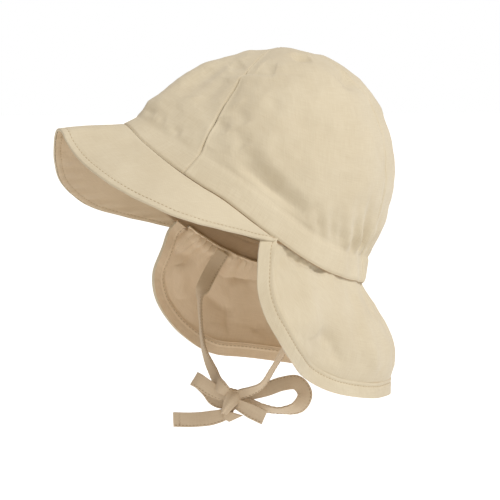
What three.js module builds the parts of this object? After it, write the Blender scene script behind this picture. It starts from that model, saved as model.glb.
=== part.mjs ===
// A toddler's legionnaire sun cap in soft cotton: a crown of four sewn panels on a headband, a peak of
// two layers over the brow, a neck flap with a wide hem that hangs from ear to ear round the nape, and
// two flat tapes sewn in behind the ears and tied in a bow under the chin.
//
// Millimetres, +Z up. The wearer looks along -Y and the wearer's left is +X. The cap is tipped as it is
// worn, brow up and nape down. The origin is the middle of the headband's ring, where the head goes in.
// Angles run round the ring in degrees: 0 at the brow, 90 over the left ear, 180 at the nape.
import * as THREE from 'three';

// The rim: the headband's lower edge, which everything else is sewn to.
const rimHalfWidth = 70;
const rimFront = 84;
const rimBack = 74;
const browHeight = 55.6;
const napeDrop = 47.5;

// Headband and crown.
const bandHeight = 16.5;
const bandWall = 1.8;
const crownWall = 1.2;
const crownTop = 102.5;
const crownTopBack = 20;
const panelPuff = 2;
const frontSeamAngle = 44;
const frontSeamBulge = 5;
const backSeamAngle = 147;
const topHoleRadius = 1.4;

// Peak: two layers of cloth, one under the other.
const peakReach = 42;
const peakHalfWidth = 74;
const peakWall = 1.1;
const peakEndAngle = 85;
const peakSewnShare = 0.965;

// Neck flap and its hem.
const flapDrop = 118;
const flapHalfWidth = 84;
const flapHalfLength = 96;
const flapWall = 1.2;
const flapTuck = 3.1;
const flapCornerShare = 0.085;
const hemWidth = 8;
const hemWall = 2.2;
const gatherDepth = 1.1;
const gatherCount = 24;
const gatherSpan = 45;
const bellySag = 1.1;
const flapFreeSpan = 15;

// Tapes and their bow.
const tapeWidth = 9.6;
const tapeThickness = 1.2;
const tieSewnAlong = 0.34;
const tieSewnBelow = 6.5;
const knotWidth = 13;
const knotHeight = 15;
const knotDepth = 9;
const chinDrop = 119.3;
const chinForward = 11.5;
const bowTurn = 55;

// The space left between two pieces that are sewn together, and between two that also bend apart.
const seamGap = 0.3;
const foldGap = 0.7;

// Small steps along a surface, in degrees round the ring and in shares, to tell which way it faces.
const turnStep = 1;
const shareStep = 0.01;

// How finely a tie, a bow loop and a bow tail are divided along their length.
const tieSteps = 20;
const loopSteps = 28;
const tailSteps = 9;

const cloth = { cream: 0xdccfb0, shade: 0xc9b795, tape: 0xc8b08c };

// The rim's height, as a share of the way from the nape up to the brow.
const rimTable = [
  { at: 0, height: 1.0 },
  { at: 20, height: 0.884 },
  { at: 40, height: 0.727 },
  { at: 50, height: 0.647 },
  { at: 60, height: 0.569 },
  { at: 80, height: 0.369 },
  { at: 100, height: 0.196 },
  { at: 120, height: 0.093 },
  { at: 150, height: 0.03 },
  { at: 180, height: 0 },
];

// How the cloth rises from the rim. bandShare is the band's height there, bandLean its lean outwards in
// degrees, and crownLean the crown's own. rise and reach are the crown's fullness low down and near the
// top, as shares of the straight line from the band to the top.
const crownTable = [
  { at: 0, bandShare: 0.62, bandLean: -66, crownLean: -40, rise: 0.27, reach: 0.38 },
  { at: 22, bandShare: 0.85, bandLean: -58, crownLean: -34, rise: 0.28, reach: 0.38 },
  { at: 44, bandShare: 1, bandLean: -30, crownLean: -24, rise: 0.29, reach: 0.38 },
  { at: 66, bandShare: 1, bandLean: -12, crownLean: 0, rise: 0.33, reach: 0.44 },
  { at: 90, bandShare: 1, bandLean: -5, crownLean: 14, rise: 0.38, reach: 0.48 },
  { at: 120, bandShare: 1, bandLean: -4, crownLean: 24, rise: 0.42, reach: 0.5 },
  { at: 147, bandShare: 1, bandLean: -4, crownLean: 33, rise: 0.47, reach: 0.46 },
  { at: 165, bandShare: 1, bandLean: 14, crownLean: 30, rise: 0.46, reach: 0.49 },
  { at: 180, bandShare: 1, bandLean: 18, crownLean: 28, rise: 0.44, reach: 0.49 },
];

// Dents in the crown: at and share give the middle, width in degrees and length in shares the size, and
// depth how many panel puffs deep it is.
const dentTable = [
  { at: 12, share: 0.1, width: 12, length: 0.1, depth: 0.8 },
  { at: 70, share: 0.1, width: 14, length: 0.08, depth: 0.9 },
  { at: 128, share: 0.25, width: 6, length: 0.2, depth: 0.7 },
  { at: 141, share: 0.22, width: 5, length: 0.2, depth: 1.5 },
  { at: 128, share: 0.74, width: 9, length: 0.07, depth: 1.1 },
];

// The peak's outer edge, from the brow to the peak's end. side is a share of peakHalfWidth, forward of
// peakReach past the brow, and drop of the height from nape to brow.
const peakTable = [
  { along: 0.0, side: 0.0, forward: 1.0, drop: 0.018 },
  { along: 0.05, side: 0.075, forward: 0.995, drop: 0.055 },
  { along: 0.1, side: 0.15, forward: 0.975, drop: 0.118 },
  { along: 0.2, side: 0.32, forward: 0.87, drop: 0.21 },
  { along: 0.35, side: 0.6, forward: 0.61, drop: 0.333 },
  { along: 0.5, side: 0.85, forward: 0.22, drop: 0.44 },
  { along: 0.65, side: 0.985, forward: -0.21, drop: 0.526 },
  { along: 0.8, side: 1.0, forward: -0.78, drop: 0.59 },
  { along: 0.9, side: 0.985, forward: -1.22, drop: 0.635 },
  { along: 1.0, side: 0.95, forward: -1.64, drop: 0.676 },
];

// The flap's outer edge, from its front corner under the band to the middle of the back. side, depth and
// drop are shares of flapHalfWidth, flapHalfLength and flapDrop, and lift is the share of flapDrop that
// the hem rides up on the wearer's right. rimAngle is where the line of cloth that ends there leaves the
// band, and belly how far it swells, as a share of hemWidth.
const flapTable = [
  { along: 0.0, side: 0.787, depth: -0.187, drop: 0.095, lift: 0, rimAngle: 84, belly: 0 },
  { along: 0.1, side: 0.87, depth: -0.285, drop: 0.22, lift: 0, rimAngle: 88, belly: 0.1 },
  { along: 0.2, side: 0.955, depth: -0.326, drop: 0.36, lift: 0, rimAngle: 92, belly: 0.2 },
  { along: 0.3, side: 1.012, depth: -0.3, drop: 0.49, lift: 0, rimAngle: 97, belly: 0.3 },
  { along: 0.4, side: 1.035, depth: -0.22, drop: 0.61, lift: 0, rimAngle: 102, belly: 0.45 },
  { along: 0.5, side: 0.975, depth: -0.1, drop: 0.73, lift: 0, rimAngle: 108, belly: 0.7 },
  { along: 0.6, side: 0.845, depth: 0.06, drop: 0.835, lift: 0.012, rimAngle: 116, belly: 1 },
  { along: 0.7, side: 0.76, depth: 0.3, drop: 0.925, lift: 0.075, rimAngle: 127, belly: 1.1 },
  { along: 0.8, side: 0.62, depth: 0.63, drop: 0.98, lift: 0.09, rimAngle: 141, belly: 1.15 },
  { along: 0.9, side: 0.36, depth: 0.885, drop: 0.985, lift: 0.05, rimAngle: 159, belly: 1.15 },
  { along: 1.0, side: 0.0, depth: 0.96, drop: 0.985, lift: 0, rimAngle: 180, belly: 1.15 },
];

// The tapes' routes, in millimetres. faceTurn and faceTilt say which way the tape's flat side looks.
// A tie's rows start under where it is sewn in and end at the knot.
const leftTieRoute = [
  { x: 62.5, y: 10.5, z: -48, faceTurn: 98, faceTilt: 0 },
  { x: 53, y: 9.5, z: -67, faceTurn: 106, faceTilt: 0 },
  { x: 41, y: 5, z: -84, faceTurn: 112, faceTilt: 0 },
  { x: 30, y: 3, z: -96, faceTurn: 110, faceTilt: 5 },
  { x: 18, y: 0.5, z: -105.5, faceTurn: 100, faceTilt: 15 },
];
const rightTieRoute = [
  { x: -63.5, y: 1.5, z: -46, faceTurn: 76, faceTilt: 0 },
  { x: -59, y: -3.5, z: -59, faceTurn: 60, faceTilt: 0 },
  { x: -49, y: -8.5, z: -74, faceTurn: 15, faceTilt: 0 },
  { x: -34, y: -11.4, z: -90.5, faceTurn: 5, faceTilt: 0 },
  { x: -18, y: -10.4, z: -103.5, faceTurn: 25, faceTilt: 5 },
];

// The bow's routes, in millimetres from the middle of the knot: right and rise in the plane of the bow,
// out towards the front of it. A row marked by its place as first or last is drawn back to the knot.
const leftLoopRoute = [
  { right: 7, rise: 4, out: -1, faceTurn: 55, faceTilt: 0 },
  { right: 21.8, rise: 7.8, out: -2.5, faceTurn: 50, faceTilt: 8 },
  { right: 32, rise: 11, out: -2.5, faceTurn: 50, faceTilt: 10 },
  { right: 41.5, rise: 11.6, out: -1.5, faceTurn: 52, faceTilt: 8 },
  { right: 46.8, rise: 4.6, out: 0.5, faceTurn: 62, faceTilt: 0 },
  { right: 42, rise: -3, out: 1.5, faceTurn: 58, faceTilt: -10 },
  { right: 32, rise: -5.8, out: 0.5, faceTurn: 52, faceTilt: -25 },
  { right: 19.5, rise: -4.2, out: -1, faceTurn: 52, faceTilt: -15 },
  { right: 7, rise: -1.6, out: -1.6, faceTurn: 55, faceTilt: 0 },
];
const rightLoopRoute = [
  { right: -7, rise: 4.6, out: 0.9, faceTurn: 55, faceTilt: 0 },
  { right: -15, rise: 8.6, out: 2.4, faceTurn: 55, faceTilt: 0 },
  { right: -21.5, rise: 12.8, out: 2, faceTurn: 40, faceTilt: 8 },
  { right: -24.2, rise: 13.4, out: -1, faceTurn: -35, faceTilt: 30 },
  { right: -21, rise: 9.5, out: -4, faceTurn: -110, faceTilt: 8 },
  { right: -14.5, rise: 1.5, out: -4, faceTurn: -125, faceTilt: 0 },
  { right: -7, rise: -0.6, out: -2.4, faceTurn: -125, faceTilt: 0 },
];
const leftTailRoute = [
  { right: 5, rise: -4, out: 3.4, faceTurn: 55, faceTilt: 0 },
  { right: 13, rise: -7.6, out: 4.4, faceTurn: 55, faceTilt: -5 },
  { right: 20.5, rise: -11, out: 4.8, faceTurn: 55, faceTilt: -8 },
];
const rightTailRoute = [
  { right: -5, rise: -8, out: 0.5, faceTurn: 55, faceTilt: 0 },
  { right: -13, rise: -11, out: 1.2, faceTurn: 52, faceTilt: 0 },
  { right: -25, rise: -12.4, out: 1.6, faceTurn: 55, faceTilt: 0 },
  { right: -37.5, rise: -12.6, out: 1.2, faceTurn: 58, faceTilt: 0 },
];

const up = new THREE.Vector3(0, 0, 1);

/** One column of a table at a place in its first column, on a smooth curve. It is level at the table's
 * ends, but for side where that is 0, which is the cap's middle and which it crosses at full slope. */
function read(table, column, place) {
  const key = Object.keys(table[0])[0];
  const last = table.length - 1;
  const x = THREE.MathUtils.clamp(place, table[0][key], table[last][key]);
  let i = 0;
  while (i < last - 1 && x > table[i + 1][key]) i += 1;
  const slope = (k) => {
    if (k === 0 || k === last) {
      if (column !== 'side' || table[k].side !== 0) return 0;
      const near = k === 0 ? 1 : last - 1;
      return (table[near][column] - table[k][column]) / (table[near][key] - table[k][key]);
    }
    return (table[k + 1][column] - table[k - 1][column]) / (table[k + 1][key] - table[k - 1][key]);
  };
  const span = table[i + 1][key] - table[i][key];
  const s = (x - table[i][key]) / span;
  const rise = table[i + 1][column] - table[i][column];
  const a = slope(i) * span;
  const b = slope(i + 1) * span;
  return table[i][column] + s * (a + s * (3 * rise - 2 * a - b + s * (a + b - 2 * rise)));
}

/** An angle as its distance from the brow, 0 to 180. */
function fromBrow(angle) {
  const turned = THREE.MathUtils.euclideanModulo(angle, 360);
  return turned > 180 ? 360 - turned : turned;
}

/** A point of the rim. */
function rim(angle) {
  const turn = THREE.MathUtils.degToRad(angle);
  return new THREE.Vector3(
    rimHalfWidth * Math.sin(turn),
    (rimBack - rimFront) / 2 - ((rimBack + rimFront) / 2) * Math.cos(turn),
    THREE.MathUtils.lerp(-napeDrop, browHeight, read(rimTable, 'height', fromBrow(angle))),
  );
}

/** The direction along the rim, towards greater angles. */
function rimRun(angle) {
  return rim(angle + turnStep).sub(rim(angle - turnStep)).normalize();
}

/** The level direction straight out from the rim. */
function outward(angle) {
  const run = rimRun(angle);
  return new THREE.Vector3(run.y, -run.x, 0).normalize();
}

/** The direction up the headband, square to the rim. */
function upBand(angle) {
  const out = outward(angle);
  const square = out.clone().cross(rimRun(angle)).normalize();
  const lean = THREE.MathUtils.degToRad(read(crownTable, 'bandLean', fromBrow(angle)));
  return square.multiplyScalar(Math.cos(lean)).addScaledVector(out, Math.sin(lean));
}

/** A point of the headband's outside, share 0 at the rim and 1 at the crown. */
function bandPoint(angle, share) {
  const height = bandHeight * read(crownTable, 'bandShare', fromBrow(angle));
  return rim(angle).addScaledVector(upBand(angle), height * share);
}

/** A point of the crown before its panels are puffed, share 0 at the band and 1 at the top. */
function crownShape(angle, share) {
  const place = fromBrow(angle);
  const foot = bandPoint(angle, 1).addScaledVector(upBand(angle), seamGap);
  const top = new THREE.Vector3(0, crownTopBack, crownTop);
  const span = foot.distanceTo(top);
  const away = foot.clone().sub(top).setZ(0).normalize();
  const lean = THREE.MathUtils.degToRad(read(crownTable, 'crownLean', place));
  const low = foot.clone()
    .addScaledVector(up, span * read(crownTable, 'rise', place) * Math.cos(lean))
    .addScaledVector(away, span * read(crownTable, 'rise', place) * Math.sin(lean));
  const high = top.clone().addScaledVector(away, span * read(crownTable, 'reach', place));
  return new THREE.CubicBezierCurve3(foot, low, high, top).getPoint(share);
}

/** How deep the crown is dented at a place, in puffs. */
function dentAt(angle, share) {
  return dentTable.reduce((sum, dent) => {
    const across = (fromBrow(angle) - dent.at) / dent.width;
    const along = (share - dent.share) / dent.length;
    return sum + dent.depth * Math.exp(-across * across - along * along);
  }, 0);
}

/** Where a crown seam is at a share of its way up. The front seams swing out sideways on their way. */
function seamAt(seam, share) {
  const bulge = Math.abs(seam) === frontSeamAngle ? frontSeamBulge * Math.sin(Math.PI * share) : 0;
  return seam + Math.sign(seam) * bulge;
}

/** A point of the crown's outside, puffed between two seams. */
function crownPoint(angle, share, seamA, seamB) {
  const inside = THREE.MathUtils.clamp(share, shareStep, 1 - 3 * shareStep);
  const run = crownShape(angle + turnStep, inside).sub(crownShape(angle - turnStep, inside));
  const rise = crownShape(angle, inside + shareStep).sub(crownShape(angle, inside - shareStep));
  const start = seamAt(seamA, share);
  const fullness = Math.sin((Math.PI * (angle - start)) / (seamAt(seamB, share) - start));
  const puff = fullness * Math.sin(Math.PI * Math.sqrt(share)) * (1 - dentAt(angle, share));
  return crownShape(angle, share).addScaledVector(run.cross(rise).normalize(), panelPuff * puff);
}

/** A closed solid between two matching grids of points, the first one outside. */
function between(outer, inner) {
  const columns = outer.length;
  const rows = outer[0].length;
  const positions = [outer, inner].flatMap((grid) => grid.flat().flatMap((point) => point.toArray()));
  const at = (side, i, j) => (side * columns + i) * rows + j;
  const index = [];
  const quad = (a, b, c, d) => index.push(a, b, c, a, c, d);
  for (let i = 0; i < columns - 1; i += 1) {
    for (let j = 0; j < rows - 1; j += 1) {
      quad(at(0, i, j), at(0, i + 1, j), at(0, i + 1, j + 1), at(0, i, j + 1));
      quad(at(1, i, j), at(1, i, j + 1), at(1, i + 1, j + 1), at(1, i + 1, j));
    }
    quad(at(1, i, 0), at(1, i + 1, 0), at(0, i + 1, 0), at(0, i, 0));
    quad(at(0, i, rows - 1), at(0, i + 1, rows - 1), at(1, i + 1, rows - 1), at(1, i, rows - 1));
  }
  const end = columns - 1;
  for (let j = 0; j < rows - 1; j += 1) {
    quad(at(1, 0, j), at(0, 0, j), at(0, 0, j + 1), at(1, 0, j + 1));
    quad(at(0, end, j), at(1, end, j), at(1, end, j + 1), at(0, end, j + 1));
  }
  const geometry = new THREE.BufferGeometry();
  geometry.setAttribute('position', new THREE.Float32BufferAttribute(positions, 3));
  geometry.setIndex(index);
  geometry.computeVertexNormals();
  return geometry;
}

/** A grid of points from a function of two shares. */
function gridOf(columns, rows, place) {
  return Array.from({ length: columns + 1 }, (_, i) =>
    Array.from({ length: rows + 1 }, (__, j) => place(i / columns, j / rows)));
}

/** The same grid moved inwards along its own normals. */
function sunk(grid, depth) {
  const columns = grid.length;
  const rows = grid[0].length;
  return grid.map((column, i) => column.map((point, j) => {
    const across = grid[Math.min(i + 1, columns - 1)][j].clone().sub(grid[Math.max(i - 1, 0)][j]);
    const along = column[Math.min(j + 1, rows - 1)].clone().sub(column[Math.max(j - 1, 0)]);
    return point.clone().addScaledVector(across.cross(along).normalize(), -depth);
  }));
}

/** A cloth wall from the grid of its outside. */
function wall(grid, thickness) {
  return between(grid, sunk(grid, thickness));
}

/** One crown panel between two seams, its sides held half a seam gap off them. */
function crownPanel(seamA, seamB, columns, rows) {
  const middle = (seamA + seamB) / 2;
  const reach = crownShape(middle, 0).distanceTo(crownShape(middle, 1)) * read(crownTable, 'reach', middle);
  const topShare = 1 - topHoleRadius / (3 * reach);
  return wall(gridOf(columns, rows, (u, v) => {
    const share = topShare * v;
    const girth = crownShape(middle + turnStep, share).distanceTo(crownShape(middle - turnStep, share));
    const inset = (seamGap * turnStep) / girth;
    const angle = THREE.MathUtils.lerp(seamAt(seamA, share) + inset, seamAt(seamB, share) - inset, u);
    return crownPoint(angle, share, seamA, seamB);
  }), crownWall);
}

/** How far the elastic at the nape gathers the cloth in or out at an angle. */
function gather(angle) {
  const pull = THREE.MathUtils.smoothstep(fromBrow(angle), backSeamAngle - gatherSpan, backSeamAngle);
  return gatherDepth * pull * Math.cos(THREE.MathUtils.degToRad(angle * gatherCount));
}

/** A stretch of the headband from one angle to another. */
function bandPiece(angleA, angleB, columns, rows) {
  const girth = rim(angleA + turnStep).distanceTo(rim(angleA - turnStep));
  const inset = (seamGap * turnStep) / girth;
  return wall(gridOf(columns, rows, (u, v) =>
    bandPoint(THREE.MathUtils.lerp(angleA + inset, angleB - inset, u), v)), bandWall);
}

/** A point of the peak's upper side, along from -1 to 1 and out from 0 at the rim to 1 at the edge. */
function peakPoint(along, out) {
  const angle = peakEndAngle * along;
  const root = rim(angle).addScaledVector(upBand(angle), -seamGap);
  const brow = rim(0);
  const place = Math.abs(along);
  const edge = new THREE.Vector3(
    Math.sign(along) * peakHalfWidth * read(peakTable, 'side', place),
    brow.y - peakReach * read(peakTable, 'forward', place),
    brow.z - (browHeight + napeDrop) * read(peakTable, 'drop', place),
  );
  return root.lerp(edge, out);
}

/** The two layers of the peak. */
function peakLayers(columns, rows) {
  const upper = gridOf(columns, rows, (u, v) => peakPoint(peakSewnShare * (2 * u - 1), 1 - v));
  return [wall(upper, peakWall), wall(sunk(upper, peakWall + seamGap), peakWall)];
}

/** A point of the flap's outer edge, along from 0 at the left front corner to 2 at the right one. */
function flapEdge(along) {
  const onRight = along > 1;
  const place = onRight ? 2 - along : along;
  const drop = read(flapTable, 'drop', place) - (onRight ? read(flapTable, 'lift', place) : 0);
  return new THREE.Vector3(
    (onRight ? -1 : 1) * flapHalfWidth * read(flapTable, 'side', place),
    flapHalfLength * read(flapTable, 'depth', place),
    -flapDrop * drop,
  );
}

/** The flap's root under the band: tucked in behind the peak's end, then flush with the band. */
function flapRoot(angle) {
  const free = THREE.MathUtils.smoothstep(fromBrow(angle), peakEndAngle, peakEndAngle + flapFreeSpan);
  const inwards = flapTuck * (1 - free) + seamGap - gather(angle) * free;
  return rim(angle).addScaledVector(upBand(angle), -seamGap).addScaledVector(outward(angle), -inwards);
}

/** A point a given width inside the flap's edge. */
function insideEdge(along, width) {
  const here = flapEdge(along);
  const run = flapEdge(Math.min(along + shareStep, 2)).sub(flapEdge(Math.max(along - shareStep, 0)));
  const out = new THREE.Vector3(here.x / flapHalfWidth, here.y / flapHalfLength, 0);
  return here.addScaledVector(out.cross(run).normalize(), width);
}

/** A point of the flap inside its hem, down from 0 at the band to 1 at the hem. */
function flapPoint(along, down) {
  const onRight = along > 1;
  const place = onRight ? 2 - along : along;
  const angle = onRight ? 360 - read(flapTable, 'rimAngle', place) : read(flapTable, 'rimAngle', place);
  const foot = insideEdge(along, hemWidth + foldGap);
  const belly = hemWidth * read(flapTable, 'belly', place) * Math.sin(Math.PI * Math.pow(down, bellySag));
  return flapRoot(angle).lerp(foot, down).addScaledVector(outward(angle), belly);
}

/** The flap and its hem. */
function flapPieces(columns, rows) {
  const body = gridOf(columns, rows, (u, v) =>
    flapPoint(THREE.MathUtils.lerp(flapCornerShare, 2 - flapCornerShare, u), 1 - v));
  const hem = gridOf(columns, 1, (u, v) => insideEdge(2 * u, hemWidth * v));
  return [wall(body, flapWall), wall(hem, hemWall)];
}

/** Where a tie is sewn to the inside of the flap, and the way the flap looks there. */
function tieSeat(along) {
  const down = tieSewnBelow / flapPoint(along, 0).distanceTo(flapPoint(along, 1));
  const across = flapPoint(along + shareStep, down).sub(flapPoint(along - shareStep, down));
  const rise = flapPoint(along, 0).sub(flapPoint(along, 2 * down));
  const out = across.cross(rise).normalize();
  const inwards = flapWall + 2 * foldGap + tapeThickness / 2;
  const place = flapPoint(along, down).addScaledVector(out, -inwards);
  return { place, faceTurn: THREE.MathUtils.radToDeg(Math.atan2(out.x, -out.y)) };
}

/** The direction that a tape's flat side looks in. */
function facing(turn, tilt) {
  const a = THREE.MathUtils.degToRad(turn);
  const e = THREE.MathUtils.degToRad(tilt);
  return new THREE.Vector3(Math.sin(a) * Math.cos(e), -Math.cos(a) * Math.cos(e), Math.sin(e));
}

const knotMiddle = new THREE.Vector3(0, -chinForward, -chinDrop);
const bowRight = facing(bowTurn + 90, 0);
const bowOut = facing(bowTurn, 0);

/** A direction from the knot, lengthened to the knot's surface. */
function toKnotSurface(direction) {
  const right = direction.dot(bowRight) / (knotWidth / 2);
  const rise = direction.z / (knotHeight / 2);
  const out = direction.dot(bowOut) / (knotDepth / 2);
  return direction.clone().divideScalar(Math.hypot(right, rise, out));
}

/** A place drawn along its line to the knot's middle, to lie one fold gap off the knot. */
function besideKnot(place) {
  const direction = place.clone().sub(knotMiddle).normalize();
  const surface = toKnotSurface(direction);
  return knotMiddle.clone().add(surface).addScaledVector(direction, foldGap);
}

/** A place given in the plane of the bow. */
function bowPlace({ right, rise, out }) {
  return knotMiddle.clone().addScaledVector(bowRight, right).addScaledVector(up, rise)
    .addScaledVector(bowOut, out);
}

/** A flat tape along places, its flat side looking in the directions given for them. */
function tape(places, rows, steps) {
  const curve = new THREE.CatmullRomCurve3(places);
  const corners = [[-1, -1], [1, -1], [1, 1], [-1, 1]];
  const ring = (step) => {
    const s = step / steps;
    const i = Math.min(Math.floor(s * (rows.length - 1)), rows.length - 2);
    const part = s * (rows.length - 1) - i;
    const turn = THREE.MathUtils.lerp(rows[i].faceTurn, rows[i + 1].faceTurn, part);
    const tilt = THREE.MathUtils.lerp(rows[i].faceTilt, rows[i + 1].faceTilt, part);
    const run = curve.getTangent(s);
    const across = run.clone().cross(facing(turn, tilt)).normalize();
    const face = across.clone().cross(run).normalize();
    return corners.map(([a, b]) => curve.getPoint(s)
      .addScaledVector(across, (a * tapeWidth) / 2).addScaledVector(face, (b * tapeThickness) / 2));
  };
  const rings = Array.from({ length: steps + 1 }, (_, step) => ring(step));
  const positions = rings.flat().flatMap((point) => point.toArray());
  const index = [];
  const quad = (a, b, c, d) => index.push(a, b, c, a, c, d);
  for (let step = 0; step < steps; step += 1) {
    for (let side = 0; side < 4; side += 1) {
      const next = (side + 1) % 4;
      quad(step * 4 + side, step * 4 + 4 + side, step * 4 + 4 + next, step * 4 + next);
    }
  }
  quad(0, 1, 2, 3);
  quad(steps * 4 + 3, steps * 4 + 2, steps * 4 + 1, steps * 4);
  const geometry = new THREE.BufferGeometry();
  geometry.setAttribute('position', new THREE.Float32BufferAttribute(positions, 3));
  geometry.setIndex(index);
  geometry.computeVertexNormals();
  return geometry;
}

/** A tie from the flap to the knot. */
function tie(route, along) {
  const seat = tieSeat(along);
  const sewn = { faceTurn: seat.faceTurn + (along > 1 ? 180 : 0), faceTilt: 0 };
  const places = [seat.place, ...route.map((row) => new THREE.Vector3(row.x, row.y, row.z))];
  places.push(besideKnot(places.at(-1)));
  return tape(places, [sewn, ...route, route.at(-1)], tieSteps);
}

/** A loop of the bow, out of the knot and back to it. */
function loop(route) {
  const places = route.map(bowPlace);
  places[0] = besideKnot(places[0]);
  places[places.length - 1] = besideKnot(places.at(-1));
  return tape(places, route, loopSteps);
}

/** A free end of a tape. */
function tail(route) {
  const places = route.map(bowPlace);
  places[0] = besideKnot(places[0]);
  return tape(places, route, tailSteps);
}

/** The knot, wrapped round by the tape. */
function knot() {
  const geometry = new THREE.SphereGeometry(1, 14, 10);
  geometry.scale(knotWidth / 2, knotDepth / 2, knotHeight / 2);
  return geometry;
}

/** A part with its name, colour and finish. */
function piece(name, geometry, colour) {
  const material = new THREE.MeshStandardMaterial({ color: colour, roughness: 0.92, metalness: 0 });
  const mesh = new THREE.Mesh(geometry, material);
  mesh.name = name;
  return mesh;
}

const [peakUpper, peakUnder] = peakLayers(36, 5);
const [flapBody, flapHem] = flapPieces(60, 7);
const cap = new THREE.Group();
cap.add(
  piece('crown_front_panel', crownPanel(-frontSeamAngle, frontSeamAngle, 14, 10), cloth.cream),
  piece('crown_left_panel', crownPanel(frontSeamAngle, backSeamAngle, 16, 12), cloth.cream),
  piece('crown_back_panel', crownPanel(backSeamAngle, 360 - backSeamAngle, 10, 12), cloth.cream),
  piece('crown_right_panel', crownPanel(-backSeamAngle, -frontSeamAngle, 16, 12), cloth.cream),
  piece('headband_front', bandPiece(-backSeamAngle, backSeamAngle, 44, 2), cloth.cream),
  piece('headband_back', bandPiece(backSeamAngle, 360 - backSeamAngle, 14, 2), cloth.cream),
  piece('peak_upper', peakUpper, cloth.cream),
  piece('peak_under', peakUnder, cloth.shade),
  piece('neck_flap', flapBody, cloth.cream),
  piece('flap_hem', flapHem, cloth.cream),
  piece('left_tie', tie(leftTieRoute, tieSewnAlong), cloth.tape),
  piece('right_tie', tie(rightTieRoute, 2 - tieSewnAlong), cloth.tape),
  piece('left_bow_loop', loop(leftLoopRoute), cloth.tape),
  piece('right_bow_loop', loop(rightLoopRoute), cloth.tape),
  piece('left_bow_tail', tail(leftTailRoute), cloth.tape),
  piece('right_bow_tail', tail(rightTailRoute), cloth.tape),
);
const bowKnot = piece('bow_knot', knot(), cloth.tape);
bowKnot.position.copy(knotMiddle);
bowKnot.rotation.z = THREE.MathUtils.degToRad(bowTurn);
cap.add(bowKnot);

export default cap;
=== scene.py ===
"""A toddler's legionnaire sun cap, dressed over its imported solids.

Soft cotton: a crown of four gores on a headband, a lined peak, a neck flap with a folded hem, and two
tapes tied in a bow under the chin. Tables are in millimetres in the row's frame: +Z up, the wearer looks
along -Y and the wearer's left is +X. Angles run round the headband in degrees: 0 at the brow, 90 over the
left ear, 180 at the nape, and negative ones on the wearer's right.
"""

import logging
import math
from collections.abc import Callable
from dataclasses import dataclass
from enum import Enum

import bpy
import numpy as np
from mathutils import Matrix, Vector


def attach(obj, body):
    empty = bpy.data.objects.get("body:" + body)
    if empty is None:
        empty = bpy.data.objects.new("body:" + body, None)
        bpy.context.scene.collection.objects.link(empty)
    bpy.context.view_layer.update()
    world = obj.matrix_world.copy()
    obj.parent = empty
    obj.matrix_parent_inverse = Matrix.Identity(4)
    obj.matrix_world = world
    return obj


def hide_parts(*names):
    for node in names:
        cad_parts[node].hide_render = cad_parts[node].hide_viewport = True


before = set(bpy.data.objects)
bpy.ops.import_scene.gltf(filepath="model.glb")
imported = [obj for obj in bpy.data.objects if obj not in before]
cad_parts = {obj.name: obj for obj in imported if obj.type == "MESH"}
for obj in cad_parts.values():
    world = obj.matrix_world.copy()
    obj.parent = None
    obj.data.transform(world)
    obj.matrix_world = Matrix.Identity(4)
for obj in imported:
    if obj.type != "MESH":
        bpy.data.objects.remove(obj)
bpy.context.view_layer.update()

MM = 0.001
UP = np.array([0.0, 0.0, 1.0])
log = logging.getLogger("cap")


class Ends(Enum):
    """How a profile runs at its first and last place."""

    LEVEL = "level at both ends"
    CROSS_FIRST = "crosses the cap's middle at its first place"
    CROSS_LAST = "crosses the cap's middle at its last place"


@dataclass(frozen=True)
class Profile:
    """A smooth curve through values that are given at places."""

    at: tuple[float, ...]
    values: tuple[float, ...]
    ends: Ends = Ends.LEVEL

    def __call__(self, place: np.ndarray) -> np.ndarray:
        """The curve's value at each place.

        Args:
            place: Where to read the curve.

        Returns:
            One value for each place.
        """
        at, value = np.array(self.at, float), np.array(self.values, float)
        slope = np.zeros_like(value)
        slope[1:-1] = (value[2:] - value[:-2]) / (at[2:] - at[:-2])
        if self.ends is Ends.CROSS_FIRST:
            slope[0] = (value[1] - value[0]) / (at[1] - at[0])
        if self.ends is Ends.CROSS_LAST:
            slope[-1] = (value[-1] - value[-2]) / (at[-1] - at[-2])
        x = np.clip(place, at[0], at[-1])
        i = np.clip(np.searchsorted(at, x, side="right") - 1, 0, len(at) - 2)
        span = at[i + 1] - at[i]
        s = (x - at[i]) / span
        rise = value[i + 1] - value[i]
        a, b = slope[i] * span, slope[i + 1] * span
        return value[i] + s * (a + s * (3 * rise - 2 * a - b + s * (a + b - 2 * rise)))


def unit(vectors: np.ndarray) -> np.ndarray:
    """The same vectors, each one long."""
    return vectors / np.maximum(np.linalg.norm(vectors, axis=-1, keepdims=True), 1e-9)


def smoothstep(x: np.ndarray, low: float, high: float) -> np.ndarray:
    """0 below low, 1 above high, and smooth between them."""
    s = np.clip((np.asarray(x, float) - low) / (high - low), 0, 1)
    return s * s * (3 - 2 * s)


def bump(x: np.ndarray, middle: float, width: float) -> np.ndarray:
    """A smooth hump, 1 at the middle and fading over the width."""
    return np.exp(-(((x - middle) / width) ** 2))


def from_brow(angle: np.ndarray) -> np.ndarray:
    """An angle as its distance from the brow, 0 to 180."""
    turned = np.mod(angle, 360.0)
    return np.where(turned > 180, 360 - turned, turned)


def arc(grid: np.ndarray, axis: int) -> np.ndarray:
    """The length along a grid's rows or columns, from its first point to each other one.

    Args:
        grid: Points, the last axis of which holds x, y and z.
        axis: Which way to measure.

    Returns:
        A length for each point, 0 at the first ones.
    """
    steps = np.linalg.norm(np.diff(grid, axis=axis), axis=-1)
    start = np.zeros_like(np.take(steps, [0], axis=axis))
    return np.concatenate([start, np.cumsum(steps, axis=axis)], axis=axis)


def normals(grid: np.ndarray) -> np.ndarray:
    """The direction that a grid of points faces at each of them."""
    return unit(np.cross(np.gradient(grid, axis=0), np.gradient(grid, axis=1)))


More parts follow.
